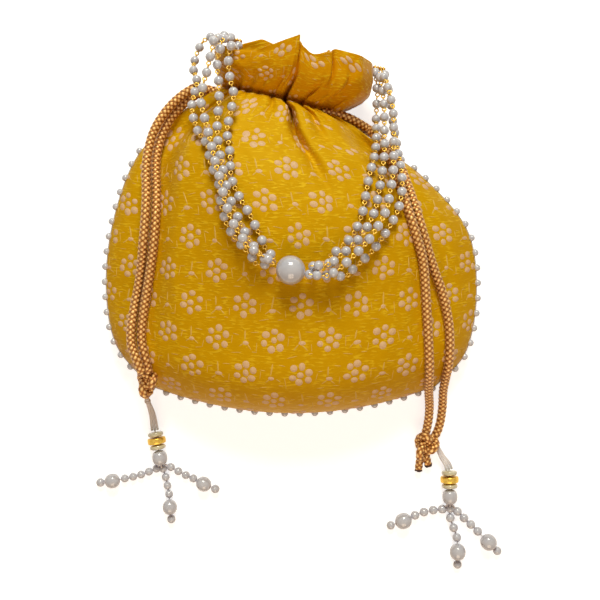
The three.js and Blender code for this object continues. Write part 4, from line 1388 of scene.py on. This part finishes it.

# %% [markdown]
# ## The handle
# Four strands of pearls run from one corner of the frill through a large pearl to the other corner.
# Between two pearls the wire is turned into a pair of tiny loops that hang in each other, so a strand
# bends only at its loops. The strands are draped one after the other, each on the pouch, the cords and
# the strands below. Wired pearls don't hang as limply as thread, so near its eye a strand falls only
# 0.12 mm for each millimetre it runs.

# %% Plans of the strands
HANDLE_PEARL, HANDLE_PITCH, CENTRE_PEARL = 5.5, 9.3, 16.0
CENTRE_X, CENTRE_Y = 0.0, -30.0
SHANK_ROOTS = np.array([[-29.0, 107.0, 22.0], [48.0, 92.0, 22.0]])
SHANK_OUT = np.array([0.98153, -0.19120, 0.0])
STACK, WIRE_SAG = 2.9, 0.12
STRANDS = {
    1: {
        "left": [(-31.8, 104), (-35.3, 92), (-34.4, 79), (-32.3, 70), (-33.6, 60), (-35.6, 48.3),
                 (-33.8, 36.2), (-32.5, 20.7), (-27.9, 9.9), (-22.3, 0.4), (-17.3, -10), (-13, -19.4)],
        "right": [(22, -22), (33, -12), (39, 0), (42, 14), (44, 24), (48, 38), (49.5, 50), (50.5, 64),
                  (51, 80)],
        "stack": (1, -1), "slot": 0, "bare": (0.6, 0.6),
    },
    4: {
        "left": [(-37, 108.6), (-45, 110.2), (-51.5, 108), (-56.3, 100), (-57.5, 89.5), (-54.6, 79.7),
                 (-56.7, 64.2), (-52.6, 49.5), (-46.6, 40.3), (-44.5, 29.6), (-40.2, 20.2), (-38.4, 7.7),
                 (-35.5, -3.5), (-31.1, -11.1), (-24.5, -18.8), (-17.9, -26.5)],
        "right": [(30, -33), (46, -18), (58, 0), (62, 12), (63, 24), (62, 38), (61.5, 50), (60, 64),
                  (57.5, 80)],
        "stack": (-1, -1), "slot": 3, "bare": (0.7, 0.7),
    },
    2: {
        "left": [(-38, 110), (-38.9, 99.4), (-41.5, 87.7), (-40.5, 75), (-40.2, 65.5), (-40.9, 54.9),
                 (-40.5, 43.3), (-38.3, 30.7), (-35.8, 20), (-33.4, 10.5), (-29.4, 0.4), (-25, -9),
                 (-19.6, -17.7), (-14.6, -23.7)],
        "right": [(25, -24), (38, -12), (46, 2), (49, 14), (51, 24), (53, 38), (53.5, 50), (54, 64),
                  (53.5, 79)],
        "stack": (1, 1), "slot": 1, "bare": (1.3, 1.3),
    },
    3: {
        "left": [(-41.7, 103.6), (-44.6, 91.9), (-46.7, 82.1), (-49, 72.5), (-49.8, 63.6), (-47.1, 52.5),
                 (-43.8, 40.3), (-41.1, 29.6), (-38, 19), (-35.6, 8.8), (-32.2, -1.8), (-27.8, -10),
                 (-22.3, -17.7)],
        "right": [(28, -28), (42, -14), (52, 2), (55, 14), (57, 24), (58, 38), (58.5, 50), (58.5, 64),
                  (56, 78)],
        "stack": (-1, 1), "slot": 2, "bare": (1.5, 1.5),
    },
}
print(len(STRANDS), "strands planned")

# %% [markdown]
# At the large pearl the four strands come together in a square, two above and two below. Each is spaced
# into fine steps, and a pearl sits on every step that is a whole pitch from the first one.

# %% Strand routes
LEFT_GATE, RIGHT_GATE = np.array([-7.6, 4.6, 0]), np.array([9.5, 0, 0])
EYE_FIRST, EYE_PITCH, EYE_RISE = 1.5, 1.7, 1.8
ROUTE_STEP = 0.4
centre_height = settle(CENTRE_X, CENTRE_Y, CENTRE_PEARL / 2) + 0.3
centre = np.array([CENTRE_X, CENTRE_Y, centre_height])


def strand_route(plan, eye, gate_side, stack):
    """From the eye along the draped plan to the large pearl's mouth."""
    lain = drape(plan, HANDLE_PEARL / 2 + 0.25, 3.0, 120)
    away = np.linalg.norm(lain[:, :2] - eye[:2], axis=1)
    lain[:, 2] = np.maximum(lain[:, 2], eye[2] - WIRE_SAG * away)
    shift = np.array([0, stack[0] * STACK, stack[1] * STACK])
    if gate_side < 0:
        gate = centre + LEFT_GATE + shift * 0.5
        return spaced(smooth_path(np.vstack([eye, lain[1:], gate]), 10), ROUTE_STEP)
    gate, before = centre + RIGHT_GATE + shift * 0.75, centre + 2.1 * RIGHT_GATE + shift
    return spaced(smooth_path(np.vstack([gate, before, lain[:-1], eye]), 10), ROUTE_STEP)[::-1]


strand_routes = {}
for number, strand in STRANDS.items():
    for side, gate_side in (("left", -1), ("right", 1)):
        root = SHANK_ROOTS[0 if side == "left" else 1]
        along_shank = gate_side * SHANK_OUT * (EYE_FIRST + EYE_PITCH * strand["slot"])
        eye = root + along_shank + np.array([0, 0, EYE_RISE])
        route = strand_route(strand[side], eye, gate_side, strand["stack"])
        strand_routes[number, side] = route
        bare = strand["bare"][0 if side == "left" else 1] * HANDLE_PEARL
        first = int(bare / ROUTE_STEP)
        places = np.arange(first, len(route), round(HANDLE_PITCH / ROUTE_STEP))
        clear = np.linalg.norm(route[places] - centre, axis=1) > (CENTRE_PEARL + HANDLE_PEARL) / 2
        places = places[clear]
        remember(route[places], HANDLE_PEARL / 2 + 0.2)
        strand[side + "_pearls"] = places
print("centre pearl at", centre.round(1))

# %% [markdown]
# A loop is a small torus. The two loops of a link stand at right angles to each other, so one always
# shows its round side. Where a strand leaves the frill its wire is bare for a few millimetres.

# %% Pearls, loops and wire
LOOP_RADIUS, WIRE_RADIUS = 1.1, 0.42


def loops(centres, normals, towards):
    """Small rings: a thin circle carried round a circle, lying across each normal."""
    big = np.arange(10) * 2 * np.pi / 10
    small = np.arange(5) * 2 * np.pi / 5
    towards = towards / np.linalg.norm(towards, axis=1, keepdims=True)
    beside = np.cross(normals, towards)
    spoke = (
        towards[:, None] * np.cos(big)[None, :, None] + beside[:, None] * np.sin(big)[None, :, None]
    )[:, :, None]
    reach = (LOOP_RADIUS + WIRE_RADIUS * np.cos(small))[None, None, :, None]
    rise = (WIRE_RADIUS * np.sin(small))[None, None, :, None]
    points = centres[:, None, None] + spoke * reach + normals[:, None, None] * rise
    i, j = np.arange(10)[:, None], np.arange(5)[None, :]
    quads = np.stack(
        [i * 5 + j, (i + 1) % 10 * 5 + j, (i + 1) % 10 * 5 + (j + 1) % 5, i * 5 + (j + 1) % 5], -1
    ).reshape(-1, 4)
    shift = np.arange(len(centres))[:, None, None] * 50
    return points.reshape(-1, 3), (quads[None] + shift).reshape(-1, 4).tolist()


pearl_profile = round_profile(HANDLE_PEARL, HANDLE_PEARL)
count = 0
for number, strand in STRANDS.items():
    pearl_shapes, wire_shapes = [], []
    for side in ("left", "right"):
        route, places = strand_routes[number, side], strand[side + "_pearls"]
        tangent, normal, across = path_frame(route)
        pearl_shapes.append(beads(route[places], tangent[places], pearl_profile))
        between = places[:-1] + round(HANDLE_PITCH / 2 / ROUTE_STEP)
        step = tangent[between] * LOOP_RADIUS * 0.85
        wire_shapes.append(loops(route[between] - step, normal[between], tangent[between]))
        wire_shapes.append(loops(route[between] + step, across[between], tangent[between]))
        wire_shapes.append(tube(route[: places[0] : 3], WIRE_RADIUS, 6))
        wire_shapes.append(tube(route[places[-1] - 6 :: 3], WIRE_RADIUS, 6))
        ring_normal = np.array([SHANK_OUT])
        eye_middle = route[:1] - np.array([[0, 0, 1.2]])
        wire_shapes.append(loops(eye_middle, ring_normal, np.array([[0, 0, 1.0]])))
        count += len(places)
    strand_pearls = make_piece(f"strand_{number}_pearls", *together(*pearl_shapes), pearl, "handle")
    strand_wire = make_piece(f"strand_{number}_wire", *together(*wire_shapes), gold, "handle")
    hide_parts(f"handle_strand_{number}")
print(count, "handle pearls")

# %% [markdown]
# The large pearl is one smooth ball. The strands run into it on both sides and hide its bore. Its coat
# is the same varnish as on the small pearls. The sewn corners of the handle are wound with amber silk.

# %% Sewn corners
binding, tree, surface = new_material("amber silk binding")
# Silk thread wound round the handle's sewn end, one turn about every 0.6 mm.
binding_place = add_node(tree, "ShaderNodeTexCoord")
turns = add_node(
    tree,
    "ShaderNodeTexWave",
    {"Vector": binding_place.outputs["Object"], "Scale": 1000 / 0.6 / 20 * 6.283},
)
turn_bump = add_node(
    tree, "ShaderNodeBump", {"Height": turns.outputs["Fac"], "Strength": 0.5, "Distance": 0.2 * MM}
)
binding_shader = add_node(
    tree,
    "ShaderNodeBsdfPrincipled",
    {"Base Color": linear("#b9780c"), "Roughness": 0.6, "Normal": turn_bump.outputs["Normal"]},
)
tree.links.new(binding_shader.outputs["BSDF"], surface)
for shank in ("handle_shank_left", "handle_shank_right"):
    bpy.data.objects[shank].data.materials.clear()
    bpy.data.objects[shank].data.materials.append(binding)
print("corners bound")

# %% Large pearl
big_profile = round_profile(CENTRE_PEARL, CENTRE_PEARL, 2.0, 25)
big_pearl = make_piece("large_pearl", *beads([centre], [[1.0, 0, 0]], big_profile, 48), pearl, "handle")
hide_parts("handle_centre_pearl")
print("large pearl", CENTRE_PEARL, "mm")

# %% [markdown]
# ## Table and light
# The photograph has a pure white ground, and the sides of the bag are dark beside it, so the ground
# can't be what lights them. The table is white only to the camera and to mirror-like surfaces, where it
# glows and still takes a soft shadow. To light that bounces between matt surfaces it is brown.

# %% White table


def seen_directly(tree):
    """1 for rays from the camera, off a glossy surface or through a clear one, and 0 for all others."""
    ray = add_node(tree, "ShaderNodeLightPath")
    seen = ray.outputs["Is Camera Ray"]
    for kind in ("Is Glossy Ray", "Is Transmission Ray"):
        either = add_node(tree, "ShaderNodeMath", {0: seen, 1: ray.outputs[kind]}, operation="MAXIMUM")
        seen = either.outputs["Value"]
    return seen


table_white, tree, surface = new_material("white table")
table_seen = seen_directly(tree)
glow = add_node(tree, "ShaderNodeMath", {0: table_seen, 1: 0.74}, operation="MULTIPLY")
table_tone = add_node(
    tree,
    "ShaderNodeMix",
    {"Factor": table_seen, "A": linear("#946632"), "B": linear("#f4f4f4")},
    data_type="RGBA",
)
table_shader = add_node(
    tree,
    "ShaderNodeBsdfPrincipled",
    {
        "Base Color": table_tone.outputs["Result"],
        "Roughness": 0.9,
        "Emission Color": linear("#ffffff"),
        "Emission Strength": glow.outputs["Value"],
    },
)
tree.links.new(table_shader.outputs["BSDF"], surface)
TABLE_HALF = 2500.0
table_corners = np.array([[-1, -1, 0], [1, -1, 0], [1, 1, 0], [-1, 1, 0]]) * TABLE_HALF
table_mesh = bpy.data.meshes.new("table")
table_mesh.from_pydata((table_corners * MM).tolist(), [], [[0, 1, 2, 3]])
table_mesh.materials.append(table_white)
table = bpy.data.objects.new("table", table_mesh)
scene.collection.objects.link(table)
print("table", 2 * TABLE_HALF, "mm wide")

# %% [markdown]
# The main light on the photograph comes from the top of the picture. Here it is a large, nearly white
# lamp high behind the frill. A broader, weaker and warmer lamp fills in from the tassels' side.

# %% Lamps


def lamp(name, place, aim, size, power, colour):
    """A square area lamp at a place in millimetres, turned to face a point."""
    light = bpy.data.lights.new(name, "AREA")
    light.size = size * MM
    light.energy = power
    light.color = linear(colour)[:3]
    lamp_object = bpy.data.objects.new(name, light)
    lamp_object.location = [value * MM for value in place]
    towards = lamp_object.location.copy()
    towards.xyz = [value * MM for value in aim]
    lamp_object.rotation_euler = (towards - lamp_object.location).to_track_quat("-Z", "Y").to_euler()
    scene.collection.objects.link(lamp_object)


LAMP_AIM = (0, -40, 20)
lamp("key from the frill side", (40, 1200, 1100), LAMP_AIM, 600, 20.0, "#fffff0")
lamp("fill from the tassel side", (60, -1100, 850), LAMP_AIM, 900, 7.2, "#ffe4c4")
print("lamps on")

# %% [markdown]
# The world has two faces. Matt surfaces are lit by a dim warm room, and the camera, metal and varnish
# see the same white as the table, so the ground stays white from every side.

# %% World
world = bpy.data.worlds.new("studio")
world.use_nodes = True
tree = world.node_tree
room = tree.nodes["Background"]
room.inputs["Color"].default_value = linear("#f0b870")
room.inputs["Strength"].default_value = 0.13
backdrop = add_node(tree, "ShaderNodeBackground", {"Color": linear("#ffffff"), "Strength": 1.0})
faces_of_world = add_node(
    tree,
    "ShaderNodeMixShader",
    {0: seen_directly(tree), 1: room.outputs["Background"], 2: backdrop.outputs["Background"]},
)
tree.links.new(faces_of_world.outputs["Shader"], tree.nodes["World Output"].inputs["Surface"])
scene.world = world
print("white backdrop, dim room")
